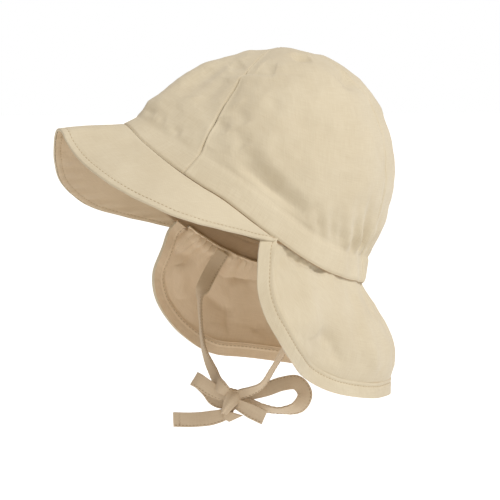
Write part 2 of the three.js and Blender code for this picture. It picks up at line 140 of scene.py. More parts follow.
def eased(count: int, share: float = 0.5) -> np.ndarray:
    """Places from 0 to 1 that stand closer together at both ends."""
    even = np.linspace(0, 1, count + 1)
    return (1 - share) * even + share * (0.5 - 0.5 * np.cos(math.pi * even))


def unevenness(points: np.ndarray, size: float, seed: int, waves: int = 14) -> np.ndarray:
    """A soft random rise and fall through space, from about -1 to 1.

    Args:
        points: Where to read it, in millimetres.
        size: The usual distance from one rise to the next.
        seed: Which pattern it is.
        waves: How many waves add up to it.

    Returns:
        One number for each point.
    """
    draw = np.random.default_rng(seed)
    way = unit(draw.normal(size=(waves, 3)))
    length = size * draw.uniform(0.7, 1.6, waves)
    phase = draw.uniform(0, 2 * math.pi, waves)
    waved = np.sin(points @ (way * (2 * math.pi / length)[:, None]).T + phase)
    return waved.sum(axis=-1) / math.sqrt(waves * 2)


# ---------------------------------------------------------------- cloth pieces


def deselect() -> None:
    """Leaves nothing selected, because an operator acts on all that is."""
    bpy.ops.object.select_all(action="DESELECT")


def name_piece(obj: bpy.types.Object, name: str) -> bpy.types.Object:
    """Gives an object and its mesh their name.

    Args:
        obj: The object.
        name: The name of both.

    Returns:
        The object.
    """
    obj.name = name
    obj.data.name = name
    return obj


def lay_out(name: str, points: np.ndarray, pattern: np.ndarray) -> bpy.types.Object:
    """Cuts a flat grid of cloth and moves it to its sewn shape.

    Args:
        name: The piece's name.
        points: Where each point of the grid goes, in millimetres.
        pattern: Each point's place on the flat cloth, in millimetres, which the weave follows.

    Returns:
        The cloth, one sheet with no thickness yet.
    """
    columns, rows = points.shape[:2]
    deselect()
    bpy.ops.mesh.primitive_grid_add(x_subdivisions=columns - 1, y_subdivisions=rows - 1, size=1)
    obj = name_piece(bpy.context.object, name)
    mesh = obj.data
    placed = points.transpose(1, 0, 2).reshape(-1, 3) * MM
    mesh.vertices.foreach_set("co", placed.astype(np.float32).ravel())
    corner = np.zeros(len(mesh.loops), np.int32)
    mesh.loops.foreach_get("vertex_index", corner)
    flat = pattern.transpose(1, 0, 2).reshape(-1, 2)[corner] * MM
    mesh.uv_layers.active.data.foreach_set("uv", flat.astype(np.float32).ravel())
    mesh.update()
    return obj


def thicken(obj: bpy.types.Object, wall: float, rounding: float, offset: float = -1.0) -> None:
    """Gives a sheet its wall and rounds its cut edges.

    Args:
        obj: The sheet.
        wall: Its thickness in millimetres.
        rounding: How far its edges are rounded, in millimetres.
        offset: -1 puts the wall behind the sheet's face, 0 on both sides of it.
    """
    deselect()
    obj.select_set(True)
    bpy.context.view_layer.objects.active = obj
    solid = obj.modifiers.new("wall", "SOLIDIFY")
    solid.thickness = wall * MM
    solid.offset = offset
    solid.use_quality_normals = True
    bpy.ops.object.modifier_apply(modifier=solid.name)
    if rounding > 0:
        bevel = obj.modifiers.new("edge", "BEVEL")
        bevel.width = rounding * MM
        bevel.segments = 2
        bevel.limit_method = "ANGLE"
        bevel.angle_limit = math.radians(62)
        bpy.ops.object.modifier_apply(modifier=bevel.name)
    bpy.ops.object.shade_smooth_by_angle(angle=math.radians(60))


def flat_pattern(points: np.ndarray) -> np.ndarray:
    """Each point's place on the cloth before it was sewn, from the grid's own lengths.

    Args:
        points: The grid's points, in millimetres.

    Returns:
        Two lengths for each point, in millimetres.
    """
    across = arc(points, 0)
    middle = points.shape[0] // 2
    along = arc(points[middle:middle + 1], 1)
    across = across - across[middle:middle + 1]
    return np.stack([across, np.broadcast_to(along, across.shape)], axis=-1)


def wear(obj: bpy.types.Object, finish: bpy.types.Material, slot: str, *replaced: str) -> bpy.types.Object:
    """Gives a piece its finish and its place on the part.

    Args:
        obj: The piece.
        finish: Its material.
        slot: The record's material slot, which is not used.
        *replaced: The nodes that it stands for.

    Returns:
        The piece.
    """
    obj.data.materials.clear()
    obj.data.materials.append(finish)
    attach(obj, "root")
    if replaced:
        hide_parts(*replaced)
    log.info("%s: %d faces", obj.name, len(obj.data.polygons))
    return obj


def line_inside(obj: bpy.types.Object, finish: bpy.types.Material) -> None:
    """Gives the side of a piece that looks in to the neck its own finish.

    Args:
        obj: The piece, which hangs round the upright through the origin.
        finish: The material of its inner side.
    """
    obj.data.materials.append(finish)
    for face in obj.data.polygons:
        outwards = face.normal.x * face.center.x + face.normal.y * face.center.y
        face.material_index = 0 if outwards > 0 else 1


@dataclass(frozen=True)
class Fold:
    """A crease, a dent or a ridge in cloth, along a line on its surface.

    line holds its places as angle and share. depth is in millimetres, outwards if positive. A fold with
    open_start is at full strength where it starts, as where it is sewn in.
    """

    line: tuple[tuple[float, float], ...]
    width: float
    depth: float
    crisp: bool = False
    open_start: bool = False

    def height(self, points: np.ndarray, surface: Callable[[np.ndarray, np.ndarray], np.ndarray]) -> np.ndarray:
        """How far it moves each point of a grid.

        Args:
            points: The grid, in millimetres.
            surface: Gives the point of the surface at an angle and a share.

        Returns:
            Millimetres along the grid's normals.
        """
        samples = 7 * len(self.line)
        steps = np.linspace(0, len(self.line) - 1, samples)
        places = np.array(self.line, float)
        angle = np.interp(steps, range(len(self.line)), places[:, 0])
        share = np.interp(steps, range(len(self.line)), places[:, 1])
        route = surface(angle, share)
        far = np.linalg.norm(points[..., None, :] - route, axis=-1)
        nearest = far.min(axis=-1)
        along = far.argmin(axis=-1) / (samples - 1)
        fade = np.cos(along * math.pi / 2) if self.open_start else np.sin(along * math.pi) ** 0.6
        near = np.abs(nearest) / self.width
        return self.depth * np.maximum(fade, 0) * (np.exp(-near * 1.4) if self.crisp else np.exp(-near ** 2))


# ---------------------------------------------------------------- finishes


def linear(hex_colour: str) -> tuple[float, float, float, float]:
    """A colour given as sRGB hex, as the linear one that shaders take."""
    parts = [int(hex_colour[i:i + 2], 16) / 255 for i in (1, 3, 5)]
    return (*(p / 12.92 if p <= 0.04045 else ((p + 0.055) / 1.055) ** 2.4 for p in parts), 1.0)


def add_node(tree: bpy.types.NodeTree, kind: str, settings: dict | None = None,
             links: dict | None = None) -> bpy.types.Node:
    """Adds a shader node.

    Args:
        tree: The material's nodes.
        kind: The node's type.
        settings: Values for its properties and its inputs.
        links: The outputs that feed its inputs.

    Returns:
        The node.
    """
    made = tree.nodes.new(kind)
    for key, value in (settings or {}).items():
        if isinstance(key, str) and hasattr(made, key):
            setattr(made, key, value)
        else:
            made.inputs[key].default_value = value
    for key, source in (links or {}).items():
        tree.links.new(source, made.inputs[key])
    return made


@dataclass(frozen=True)
class WovenCotton:
    """Plain woven cotton, washed and matt: a soft bloom at grazing angles and no highlight to speak of.

    thread is the distance from one thread to the next in millimetres. The real one is about 0.4, and it
    is drawn coarser, as it has to be to show at all.
    """

    name: str
    light: str
    dark: str
    thread: float = 0.55
    relief: float = 0.035
    crumple: float = 0.25
    slub: float = 9.0
    # the distance from one washed patch to the next, and from one small crumple to the next
    wash: float = 26.0
    wrinkle: float = 9.0
    roughness: float = 0.92
    bloom: float = 0.25

    def material(self) -> bpy.types.Material:
        """The finish as a material, whose weave follows the cloth's own pattern.

        Returns:
            The material.
        """
        made = bpy.data.materials.new(self.name)
        made.use_nodes = True
        tree = made.node_tree
        shader = tree.nodes["Principled BSDF"]
        place = add_node(tree, "ShaderNodeTexCoord")
        cloth = place.outputs["UV"]
        period = math.pi / 10 / (self.thread * MM)
        warp = add_node(tree, "ShaderNodeTexWave", {"bands_direction": "X", "Scale": period / 2,
                                                    "Distortion": 0.0}, {"Vector": cloth})
        weft = add_node(tree, "ShaderNodeTexWave", {"bands_direction": "Y", "Scale": period / 2,
                                                    "Distortion": 0.0}, {"Vector": cloth})
        over = add_node(tree, "ShaderNodeMath", {"operation": "SUBTRACT"},
                        {0: warp.outputs["Fac"], 1: weft.outputs["Fac"]})
        weave = add_node(tree, "ShaderNodeMath", {"operation": "ABSOLUTE"}, {0: over.outputs[0]})
        drawn = add_node(tree, "ShaderNodeMapping", {"Scale": (1 / (self.thread * MM), 1 / (self.slub * MM), 1)},
                         {"Vector": cloth})
        threads = add_node(tree, "ShaderNodeTexNoise", {"Scale": 0.9, "Detail": 2.0}, {"Vector": drawn.outputs[0]})
        crossed = add_node(tree, "ShaderNodeMapping", {"Scale": (1 / (self.slub * MM), 1 / (self.thread * MM), 1)},
                           {"Vector": cloth})
        picks = add_node(tree, "ShaderNodeTexNoise", {"Scale": 0.9, "Detail": 2.0}, {"Vector": crossed.outputs[0]})
        slubs = add_node(tree, "ShaderNodeMath", {"operation": "ADD"},
                         {0: threads.outputs["Fac"], 1: picks.outputs["Fac"]})
        wash = add_node(tree, "ShaderNodeTexNoise", {"Scale": 1 / (self.wash * MM), "Detail": 3.0},
                        {"Vector": place.outputs["Object"]})
        tone = add_node(tree, "ShaderNodeMath", {"operation": "MULTIPLY_ADD", 1: 0.42, 2: -0.12},
                        {0: slubs.outputs[0]})
        mottle = add_node(tree, "ShaderNodeMath", {"operation": "MULTIPLY_ADD", 1: 0.5},
                          {0: wash.outputs["Fac"], 2: tone.outputs[0]})
        shade = add_node(tree, "ShaderNodeMath", {"operation": "MULTIPLY_ADD", 1: -0.14, "use_clamp": True},
                         {0: weave.outputs[0], 2: mottle.outputs[0]})
        colour = add_node(tree, "ShaderNodeMix", {"data_type": "RGBA", 6: linear(self.dark), 7: linear(self.light)},
                          {0: shade.outputs[0]})
        tree.links.new(colour.outputs[2], shader.inputs["Base Color"])
        creased = add_node(tree, "ShaderNodeTexNoise",
                           {"Scale": 1 / (self.wrinkle * MM), "Detail": 4.0, "Roughness": 0.55},
                           {"Vector": place.outputs["Object"]})
        soft = add_node(tree, "ShaderNodeBump", {"Strength": 1.0, "Distance": self.crumple * MM},
                        {"Height": creased.outputs["Fac"]})
        grain = add_node(tree, "ShaderNodeMath", {"operation": "MULTIPLY_ADD", 1: 0.6},
                         {0: slubs.outputs[0], 2: weave.outputs[0]})
        raised = add_node(tree, "ShaderNodeBump", {"Strength": 1.0, "Distance": self.relief * MM},
                          {"Height": grain.outputs[0], "Normal": soft.outputs[0]})
        tree.links.new(raised.outputs[0], shader.inputs["Normal"])
        shader.inputs["Roughness"].default_value = self.roughness
        shader.inputs["IOR"].default_value = 1.5
        shader.inputs["Specular IOR Level"].default_value = 0.2
        shader.inputs["Sheen Weight"].default_value = self.bloom
        shader.inputs["Sheen Roughness"].default_value = 0.6
        return made


@dataclass(frozen=True)
class SewingThread:
    """Spun polyester thread, a little smoother and brighter than the cloth that it holds."""

    name: str
    colour: str
    # the lighter colour of the twist's bands, a painted highlight on the plies
    twist_highlight: str = "#BFAA86"
    twist: float = 0.35
    relief: float = 0.04

    def material(self) -> bpy.types.Material:
        """The finish as a material, with the thread's twist as a fine slant, its lighter bands painted highlight.

        Returns:
            The material.
        """
        made = bpy.data.materials.new(self.name)
        made.use_nodes = True
        tree = made.node_tree
        shader = tree.nodes["Principled BSDF"]
        place = add_node(tree, "ShaderNodeTexCoord")
        twist = add_node(tree, "ShaderNodeTexWave", {"bands_direction": "DIAGONAL",
                                                     "Scale": math.pi / 10 / (self.twist * MM)},
                         {"Vector": place.outputs["Object"]})
        # mixes the painted highlight in along the twist
        tone = add_node(tree, "ShaderNodeMix", {"data_type": "RGBA", 6: linear(self.colour), 7: linear(self.twist_highlight)},
                        {0: twist.outputs["Fac"]})
        tree.links.new(tone.outputs[2], shader.inputs["Base Color"])
        raised = add_node(tree, "ShaderNodeBump", {"Strength": 0.5, "Distance": self.relief * MM},
                          {"Height": twist.outputs["Fac"]})
        tree.links.new(raised.outputs[0], shader.inputs["Normal"])
        shader.inputs["Roughness"].default_value = 0.6
        return made


# ---------------------------------------------------------------- stitches


@dataclass(frozen=True)
class StitchRow:
    """A straight row of lockstitches along a line on the cloth."""

    pitch: float = 2.6
    length: float = 1.9
    radius: float = 0.24

    def sew(self, name: str, line: np.ndarray, facing: np.ndarray, finish: bpy.types.Material,
            slot: str) -> bpy.types.Object:
        """Models one stitch, repeats it, and lays the row along the line.

        Args:
            name: The row's name.
            line: The points that it follows, in millimetres.
            facing: The way that the cloth faces at each of them.
            finish: The thread.
            slot: The record's material slot.

        Returns:
            The row as one piece.
        """
        run = arc(line, 0)
        count = max(1, int(run[-1] / self.pitch))
        deselect()
        bpy.ops.mesh.primitive_uv_sphere_add(segments=6, ring_count=5, radius=1)
        obj = name_piece(bpy.context.object, name)
        bpy.ops.object.mode_set(mode="EDIT")
        bpy.ops.mesh.select_all(action="SELECT")
        bpy.ops.transform.resize(value=(self.length / 2, self.radius, self.radius * 0.8))
        bpy.ops.object.mode_set(mode="OBJECT")
        repeat = obj.modifiers.new("row", "ARRAY")
        repeat.count = count
        repeat.use_relative_offset = False
        repeat.use_constant_offset = True
        repeat.constant_offset_displace = (self.pitch, 0, 0)
        bpy.ops.object.modifier_apply(modifier=repeat.name)
        flat = np.zeros(len(obj.data.vertices) * 3, np.float32)
        obj.data.vertices.foreach_get("co", flat)
        flat = flat.reshape(-1, 3).astype(float)
        place = flat[:, 0] + self.pitch / 2 + (run[-1] - count * self.pitch) / 2
        at = np.stack([np.interp(place, run, line[:, k]) for k in range(3)], axis=-1)
        face = unit(np.stack([np.interp(place, run, facing[:, k]) for k in range(3)], axis=-1))
        ahead = np.stack([np.interp(place + 0.5, run, line[:, k]) - np.interp(place - 0.5, run, line[:, k])
                          for k in range(3)], axis=-1)
        side = unit(np.cross(face, unit(ahead)))
        sewn = at + side * flat[:, 1:2] + face * flat[:, 2:3]
        obj.data.vertices.foreach_set("co", (sewn * MM).astype(np.float32).ravel())
        obj.data.update()
        bpy.ops.object.shade_smooth()
        return wear(obj, finish, slot)


# ---------------------------------------------------------------- the headband's ring


@dataclass(frozen=True)
class Ring:
    """The headband's lower edge, to which everything else is sewn, and the way up the band from it."""

    half_width: float = 70.0
    front: float = 84.0
    back: float = 74.0
    brow: float = 55.6
    nape: float = 47.5
    band_height: float = 16.5
    gather_depth: float = 1.1
    gather_count: float = 24.0
    gather_from: float = 102.0
    gather_full: float = 147.0
    # how far up the band the gathers reach, and how many fine ridges the elastic would press round a whole ring
    gather_reach: float = 13.0
    ridge_count: float = 92.0
    height: Profile = Profile((0, 20, 40, 50, 60, 80, 100, 120, 150, 180),
                              (1.0, 0.884, 0.727, 0.647, 0.569, 0.369, 0.196, 0.093, 0.03, 0))
    band_share: Profile = Profile((0, 22, 44, 66, 90, 120, 147, 165, 180), (0.62, 0.85, 1, 1, 1, 1, 1, 1, 1))
    band_lean: Profile = Profile((0, 22, 44, 66, 90, 120, 147, 165, 180), (-66, -58, -30, -12, -5, -4, -4, 14, 18))

    def rim(self, angle: np.ndarray) -> np.ndarray:
        """Points of the rim.

        Args:
            angle: Angles round the ring, in degrees.

        Returns:
            A point for each angle.
        """
        turn = np.radians(angle)
        return np.stack([
            self.half_width * np.sin(turn),
            (self.back - self.front) / 2 - (self.back + self.front) / 2 * np.cos(turn),
            -self.nape + (self.brow + self.nape) * self.height(from_brow(angle)),
        ], axis=-1)

    def run(self, angle: np.ndarray) -> np.ndarray:
        """The direction along the rim, towards greater angles."""
        return unit(self.rim(angle + 1.0) - self.rim(angle - 1.0))

    def outward(self, angle: np.ndarray) -> np.ndarray:
        """The level direction straight out from the rim."""
        run = self.run(angle)
        return unit(np.stack([run[..., 1], -run[..., 0], np.zeros_like(run[..., 0])], axis=-1))

    def up(self, angle: np.ndarray) -> np.ndarray:
        """The direction up the headband, square to the rim.

        Args:
            angle: Angles round the ring, in degrees.

        Returns:
            A direction for each angle.
        """
        out = self.outward(angle)
        square = unit(np.cross(out, self.run(angle)))
        lean = np.radians(self.band_lean(from_brow(angle)))[..., None]
        return square * np.cos(lean) + out * np.sin(lean)

    def band(self, angle: np.ndarray, share: np.ndarray) -> np.ndarray:
        """Points of the headband's outside, share 0 at the rim and 1 at the crown."""
        height = self.band_height * self.band_share(from_brow(angle)) * share
        return self.rim(angle) + self.up(angle) * height[..., None]

    def gather(self, angle: np.ndarray) -> np.ndarray:
        """How far the elastic at the nape gathers the cloth in or out."""
        pull = smoothstep(from_brow(angle), self.gather_from, self.gather_full)
        return self.gather_depth * pull * np.cos(np.radians(angle * self.gather_count))


RING = Ring()


# ---------------------------------------------------------------- crown


@dataclass(frozen=True)
class Gore:
    """One panel of the crown, between two seams, and the node that it stands for."""

    name: str
    node: str
    start: float
    end: float
    columns: int
    ridge: float = 0.0


@dataclass
class Crown:
    """The crown of four gores, each of which runs on over the headband to the rim."""

    top: tuple[float, float, float] = (0.0, 20.0, 102.5)
    wall: float = 1.0
    puff: float = 2.0
    front_seam: float = 44.0
    back_seam: float = 147.0
    seam_depth: float = 1.1
    top_share: float = 0.997
    crown_rows: int = 92
    band_rows: int = 14
    lean: Profile = Profile((0, 22, 44, 66, 90, 120, 147, 165, 180), (-40, -34, -24, 0, 14, 24, 33, 30, 28))
    rise: Profile = Profile((0, 22, 44, 66, 90, 120, 147, 165, 180),
                            (0.27, 0.28, 0.29, 0.33, 0.38, 0.42, 0.47, 0.46, 0.44))
    reach: Profile = Profile((0, 22, 44, 66, 90, 120, 147, 165, 180),
                             (0.38, 0.38, 0.38, 0.44, 0.48, 0.5, 0.46, 0.49, 0.49))
    # how far a front seam swings out sideways on its way up, in degrees
    swing: Profile = Profile((0, 0.2, 0.4, 0.6, 0.7, 0.8, 0.9, 1.0), (-3.0, -1.5, 1.5, 5.0, 7.0, 7.0, 4.5, 0.0))

    # Where the worn cloth is creased, dented and pulled. The wearer's left is as the photograph shows it,
    # and the right and the back are guessed to match.
    folds: tuple[Fold, ...] = (
        # the slack above the band beside the front seam
        Fold(((53, 0.37), (61, 0.3)), 5.0, -2.0),
        Fold(((54, 0.24), (61, 0.17)), 5.0, -2.2),
        Fold(((57, 0.15), (65, 0.1), (75, 0.07), (90, 0.05)), 7.0, -3.6),
        Fold(((60, 0.05), (76, 0.05), (94, 0.06)), 5.5, -2.2),
        Fold(((47, 0.28), (50, 0.18)), 5.5, -1.6),
        Fold(((66, 0.3), (74, 0.2), (86, 0.16)), 7.0, 1.3),
        # the crease across the top and the hollows over it
        Fold(((27, 0.54), (45, 0.58), (60, 0.62), (78, 0.67), (94, 0.68), (106, 0.7)), 2.2, -1.5, crisp=True),
        Fold(((32, 0.52), (48, 0.55), (64, 0.59), (82, 0.64)), 3.4, 0.9),
        Fold(((28, 0.6), (38, 0.67)), 7.5, -1.7),
        Fold(((60, 0.67), (76, 0.69)), 7.5, -1.4),
        Fold(((95, 0.8), (106, 0.82), (116, 0.81)), 4.4, -3.4),
        Fold(((82, 0.83), (98, 0.86), (110, 0.88)), 2.0, 0.9, crisp=True),
        Fold(((124, 0.66), (135, 0.68), (146, 0.7)), 6.5, -4.0),
        Fold(((27, 0.56), (24, 0.7)), 1.8, 1.0, crisp=True),
        Fold(((70, 0.5), (88, 0.46), (104, 0.4)), 8.0, -1.1),
        # gathers that rise from the band towards the back
        Fold(((101, 0.0), (96, 0.13)), 3.2, -1.7, open_start=True),
        Fold(((105, 0.0), (101, 0.15)), 3.0, 1.0, open_start=True),
        Fold(((110, 0.0), (105, 0.16)), 3.2, -2.0, open_start=True),
        Fold(((117, 0.0), (110, 0.17)), 3.0, -1.6, open_start=True),
        Fold(((123, 0.0), (115, 0.2)), 3.4, 1.4, open_start=True),
        Fold(((129, 0.01), (121, 0.2)), 3.6, -2.6, open_start=True),
        Fold(((138, 0.03), (134, 0.13), (131, 0.22)), 4.4, -4.6, open_start=True),
        Fold(((136, 0.0), (130, 0.08), (127, 0.16)), 2.4, 2.3, open_start=True),
        # the pleat beside the left back seam
        Fold(((146, 0.0), (145.5, 0.14), (145.5, 0.3)), 1.5, -2.4, crisp=True, open_start=True),
        Fold(((141.5, 0.02), (142, 0.14), (142.5, 0.28)), 2.4, 1.5, open_start=True),
        # the front panel
        Fold(((2, 0.06), (9, 0.07)), 3.6, -1.6),
        Fold(((13, 0.06), (17, 0.08)), 2.8, -1.1),
        Fold(((22, 0.07), (28, 0.05)), 2.8, -1.2),
        Fold(((9, 0.55), (12, 0.4), (22, 0.3)), 8.0, -1.9),
        Fold(((20, 0.66), (14, 0.36)), 6.0, -1.8),
        Fold(((36, 0.52), (28, 0.26)), 6.0, -1.5),
        Fold(((28, 0.36), (19, 0.2)), 4.5, 0.9),
        Fold(((-12, 0.05), (-22, 0.09)), 5.0, -1.6),
        Fold(((-22, 0.6), (-16, 0.3)), 7.0, -1.6),
        # the wearer's right
        Fold(((-52, 0.4), (-55, 0.24), (-64, 0.12), (-84, 0.05)), 7.0, -1.9),
        Fold(((-31, 0.58), (-52, 0.63), (-78, 0.69), (-98, 0.66)), 2.4, -0.9, crisp=True),
        Fold(((-60, 0.7), (-72, 0.72)), 5.0, -1.3),
        Fold(((-112, 0.62), (-126, 0.66)), 5.5, -1.6),
        Fold(((-97, 0.0), (-93, 0.13)), 3.2, -0.9, open_start=True),
        Fold(((-106, 0.0), (-102, 0.16)), 3.2, -1.1, open_start=True),
        Fold(((-113, 0.0), (-108, 0.12)), 3.0, 0.7, open_start=True),
        Fold(((-120, 0.0), (-113, 0.18)), 3.4, -1.3, open_start=True),
        Fold(((-133, 0.02), (-127, 0.2)), 4.2, -2.4, open_start=True),
        # the back panel
        Fold(((154, 0.0), (151, 0.2)), 3.4, -1.5, open_start=True),
        Fold(((163, 0.0), (161, 0.14)), 3.2, -1.1, open_start=True),
        Fold(((172, 0.0), (170, 0.24)), 3.6, -1.6, open_start=True),
        Fold(((182, 0.0), (183, 0.15)), 3.2, -1.0, open_start=True),
        Fold(((191, 0.0), (193, 0.22)), 3.6, -1.6, open_start=True),
        Fold(((201, 0.0), (204, 0.16)), 3.2, -1.2, open_start=True),
        Fold(((165, 0.6), (186, 0.64), (200, 0.6)), 5.5, -1.2),
    )

    def gores(self) -> tuple[Gore, ...]:
        """The four panels.

        Returns:
            The panels, with their seams' angles and how finely each is divided.
        """
        return (
            Gore("crown_front_cloth", "crown_front_panel", -self.front_seam, self.front_seam, 92),
            Gore("crown_left_cloth", "crown_left_panel", self.front_seam, self.back_seam, 110, 0.42),
            Gore("crown_back_cloth", "crown_back_panel", self.back_seam, 360 - self.back_seam, 84),
            Gore("crown_right_cloth", "crown_right_panel", -self.back_seam, -self.front_seam, 110, 0.42),
        )

    def surface(self, angle: np.ndarray, share: np.ndarray) -> np.ndarray:
        """Points of the crown before its gores are puffed, share 0 at the band and 1 at the top.

        Args:
            angle: Angles round the ring, in degrees.
            share: Shares of the way up, with the same shape.

        Returns:
            A point for each pair.
        """
        place = from_brow(angle)
        foot = RING.band(angle, np.ones_like(np.asarray(angle, float)))
        top = np.array(self.top)
        span = np.linalg.norm(foot - top, axis=-1)[..., None]
        away = foot - top
        away[..., 2] = 0
        away = unit(away)
        lean = np.radians(self.lean(place))[..., None]
        rise = self.rise(place)[..., None] * span
        low = foot + UP * rise * np.cos(lean) + away * rise * np.sin(lean)
        high = top + away * span * self.reach(place)[..., None]
        t = np.asarray(share, float)[..., None]
        return (1 - t) ** 3 * foot + 3 * (1 - t) ** 2 * t * low + 3 * (1 - t) * t ** 2 * high + t ** 3 * top

    def seam_at(self, seam: float, share: np.ndarray) -> np.ndarray:
        """Where a seam is on its way up. The front seams swing out sideways."""
        swing = self.swing(share) if abs(seam) == self.front_seam else 0.0
        return seam + math.copysign(1.0, seam) * swing + 0 * share

    def creases(self, points: np.ndarray, free: np.ndarray, folds: tuple[Fold, ...]) -> np.ndarray:
        """How far folds and the cloth's own unevenness move it.

        Args:
            points: Where, in millimetres.
            free: 0 where the cloth is held flat and 1 where it is loose.
            folds: The folds that come near.

        Returns:
            Millimetres along the cloth's normals.
        """
        lift = 0.6 * free * unevenness(points, 34, 5) + 0.2 * (0.3 + 0.7 * free) * unevenness(points, 12, 9)
        lift = lift - free * (1.1 * np.abs(unevenness(points, 46, 17)) + 0.5 * np.abs(unevenness(points, 24, 23)))
        lift = lift - 0.3 * free * np.abs(unevenness(points, 15, 31))
        return lift + free * sum(fold.height(points, self.surface) for fold in folds)

    def gore_grid(self, gore: Gore) -> tuple[np.ndarray, np.ndarray]:
        """The sewn and creased outside of a gore.

        Args:
            gore: The panel.

        Returns:
            Its points in millimetres, from the rim to the top, and their places on the flat cloth.
        """
        across = eased(gore.columns)[:, None]
        rows = np.linspace(0, 1, self.band_rows + 1)[None, :] ** 1.5
        share = np.linspace(0, self.top_share, self.crown_rows + 1)[None, 1:]
        foot_start, foot_end = self.seam_at(gore.start, np.zeros(1)), self.seam_at(gore.end, np.zeros(1))
        foot = foot_start + (foot_end - foot_start) * across
        band = RING.band(foot + 0 * rows, rows + 0 * across)
        start, end = self.seam_at(gore.start, share), self.seam_at(gore.end, share)
        angle = start + (end - start) * across
        shape = self.surface(angle, share + 0 * across)
        fullness = np.sin(math.pi * across) * np.sin(math.pi * np.sqrt(share)) * self.puff
        shape = shape + normals(shape) * fullness[..., None]
        points = np.concatenate([band, shape], axis=1)
        join = self.band_rows
        for _ in range(5):
            near = slice(join - 2, join + 4)
            points[:, near] = (points[:, join - 3:join + 3] + 2 * points[:, near] + points[:, join - 1:join + 5]) / 4
        pattern = flat_pattern(points)
        height = arc(points, 1)
        over = height - height[:, join:join + 1]
        near_folds = tuple(fold for fold in self.folds if self.reaches(fold, gore))
        lift = self.creases(points, smoothstep(over, -3, 7), near_folds)
        whole = np.concatenate([foot + 0 * rows, angle], axis=1)
        lift = lift + RING.gather(whole) * np.exp(-((height / RING.gather_reach) ** 2))
        elastic = smoothstep(from_brow(whole), 143, 151)
        ridges = np.cos(np.radians((whole - 180) * RING.ridge_count))
        lift = lift + 0.5 * elastic * ridges * smoothstep(height, 1, 4) * (1 - smoothstep(height, 13, 27))
        valley = 0.12 + 0.88 * smoothstep(from_brow(whole), 34, 66)
        lift = lift - valley * (0.75 * bump(over, 0.5, 2.0) + 0.3 * bump(over, 0, 0.7))
        left = arc(points, 0)
        right = left[-1:] - left
        near_seam = np.minimum(left, right)
        open_seam = 1 + 0.35 * smoothstep(from_brow(whole), 110, 140) * smoothstep(over, 0, 6)
        held = 0.65 + 0.35 * smoothstep(over, -2, 3)
        lift = lift - self.seam_depth * held * open_seam * bump(near_seam, 0, 0.6 * open_seam)
        lift = lift + gore.ridge * bump(near_seam, 1.25, 0.7)
        lift = lift - 0.9 * bump(height, 0, 0.8)
        return points + normals(points) * lift[..., None], pattern

    def reaches(self, fold: Fold, gore: Gore) -> bool:
        """Whether a fold lies near enough to a gore to shape it.

        Args:
            fold: The fold.
            gore: The panel.

        Returns:
            True if any place on its line does.
        """
        angles = [a for a, _ in fold.line]
        low, high = min(gore.start, gore.end) - 14, max(gore.start, gore.end) + 14
        return any(low <= a + turn <= high for a in angles for turn in (-360, 0, 360))

    def build(self, cotton: bpy.types.Material, binding: bpy.types.Material) -> list[bpy.types.Object]:
        """Sews the crown.

        Args:
            cotton: The outer cloth.
            binding: The tape over the seams inside, in the lining's cotton, whose darker tone is painted shade.

        Returns:
            Its pieces.
        """
        made = []
        for gore in self.gores():
            points, pattern = self.gore_grid(gore)
            cloth = lay_out(gore.name, points, pattern)
            thicken(cloth, self.wall, 0.25)
            made.append(wear(cloth, cotton, "cap_cotton", gore.node))
        for name, seam in (("front_left", self.front_seam), ("front_right", -self.front_seam),
                           ("back_left", self.back_seam), ("back_right", -self.back_seam)):
            made.append(self.bind_seam(f"seam_binding_{name}", seam, binding))
        return made

    def bind_seam(self, name: str, seam: float, finish: bpy.types.Material) -> bpy.types.Object:
        """The narrow cotton tape that covers a seam on the inside.

        Args:
            name: The piece's name.
            seam: The seam's angle at the band, in degrees.
            finish: The tape's material.

        Returns:
            The tape.
        """
        share = np.linspace(0.02, 0.975, 90)[None, :]
        side = np.linspace(-1, 1, 9)[:, None]
        middle = self.seam_at(seam, share)
        here = self.surface(middle, share)
        along = unit(np.gradient(here, axis=1))
        out = normals(self.surface(middle + side * 4, share + 0 * side))[4:5]
        across = unit(np.cross(along, out))
        width = 3.2 * (1 - 0.5 * smoothstep(share, 0.85, 1.0))[..., None]
        lift = 0.25 * (1 - side ** 2) + 0.08 * np.sin(arc(here, 1) * 1.3)
        follow = self.creases(here, smoothstep(share, 0.0, 0.12), self.folds)
        points = here - out * (2.0 + lift - follow)[..., None] + across * width * side[..., None]
        tape = lay_out(name, points, flat_pattern(points))
        thicken(tape, 0.5, 0.12, offset=0.0)
        return wear(tape, finish, "cap_cotton")


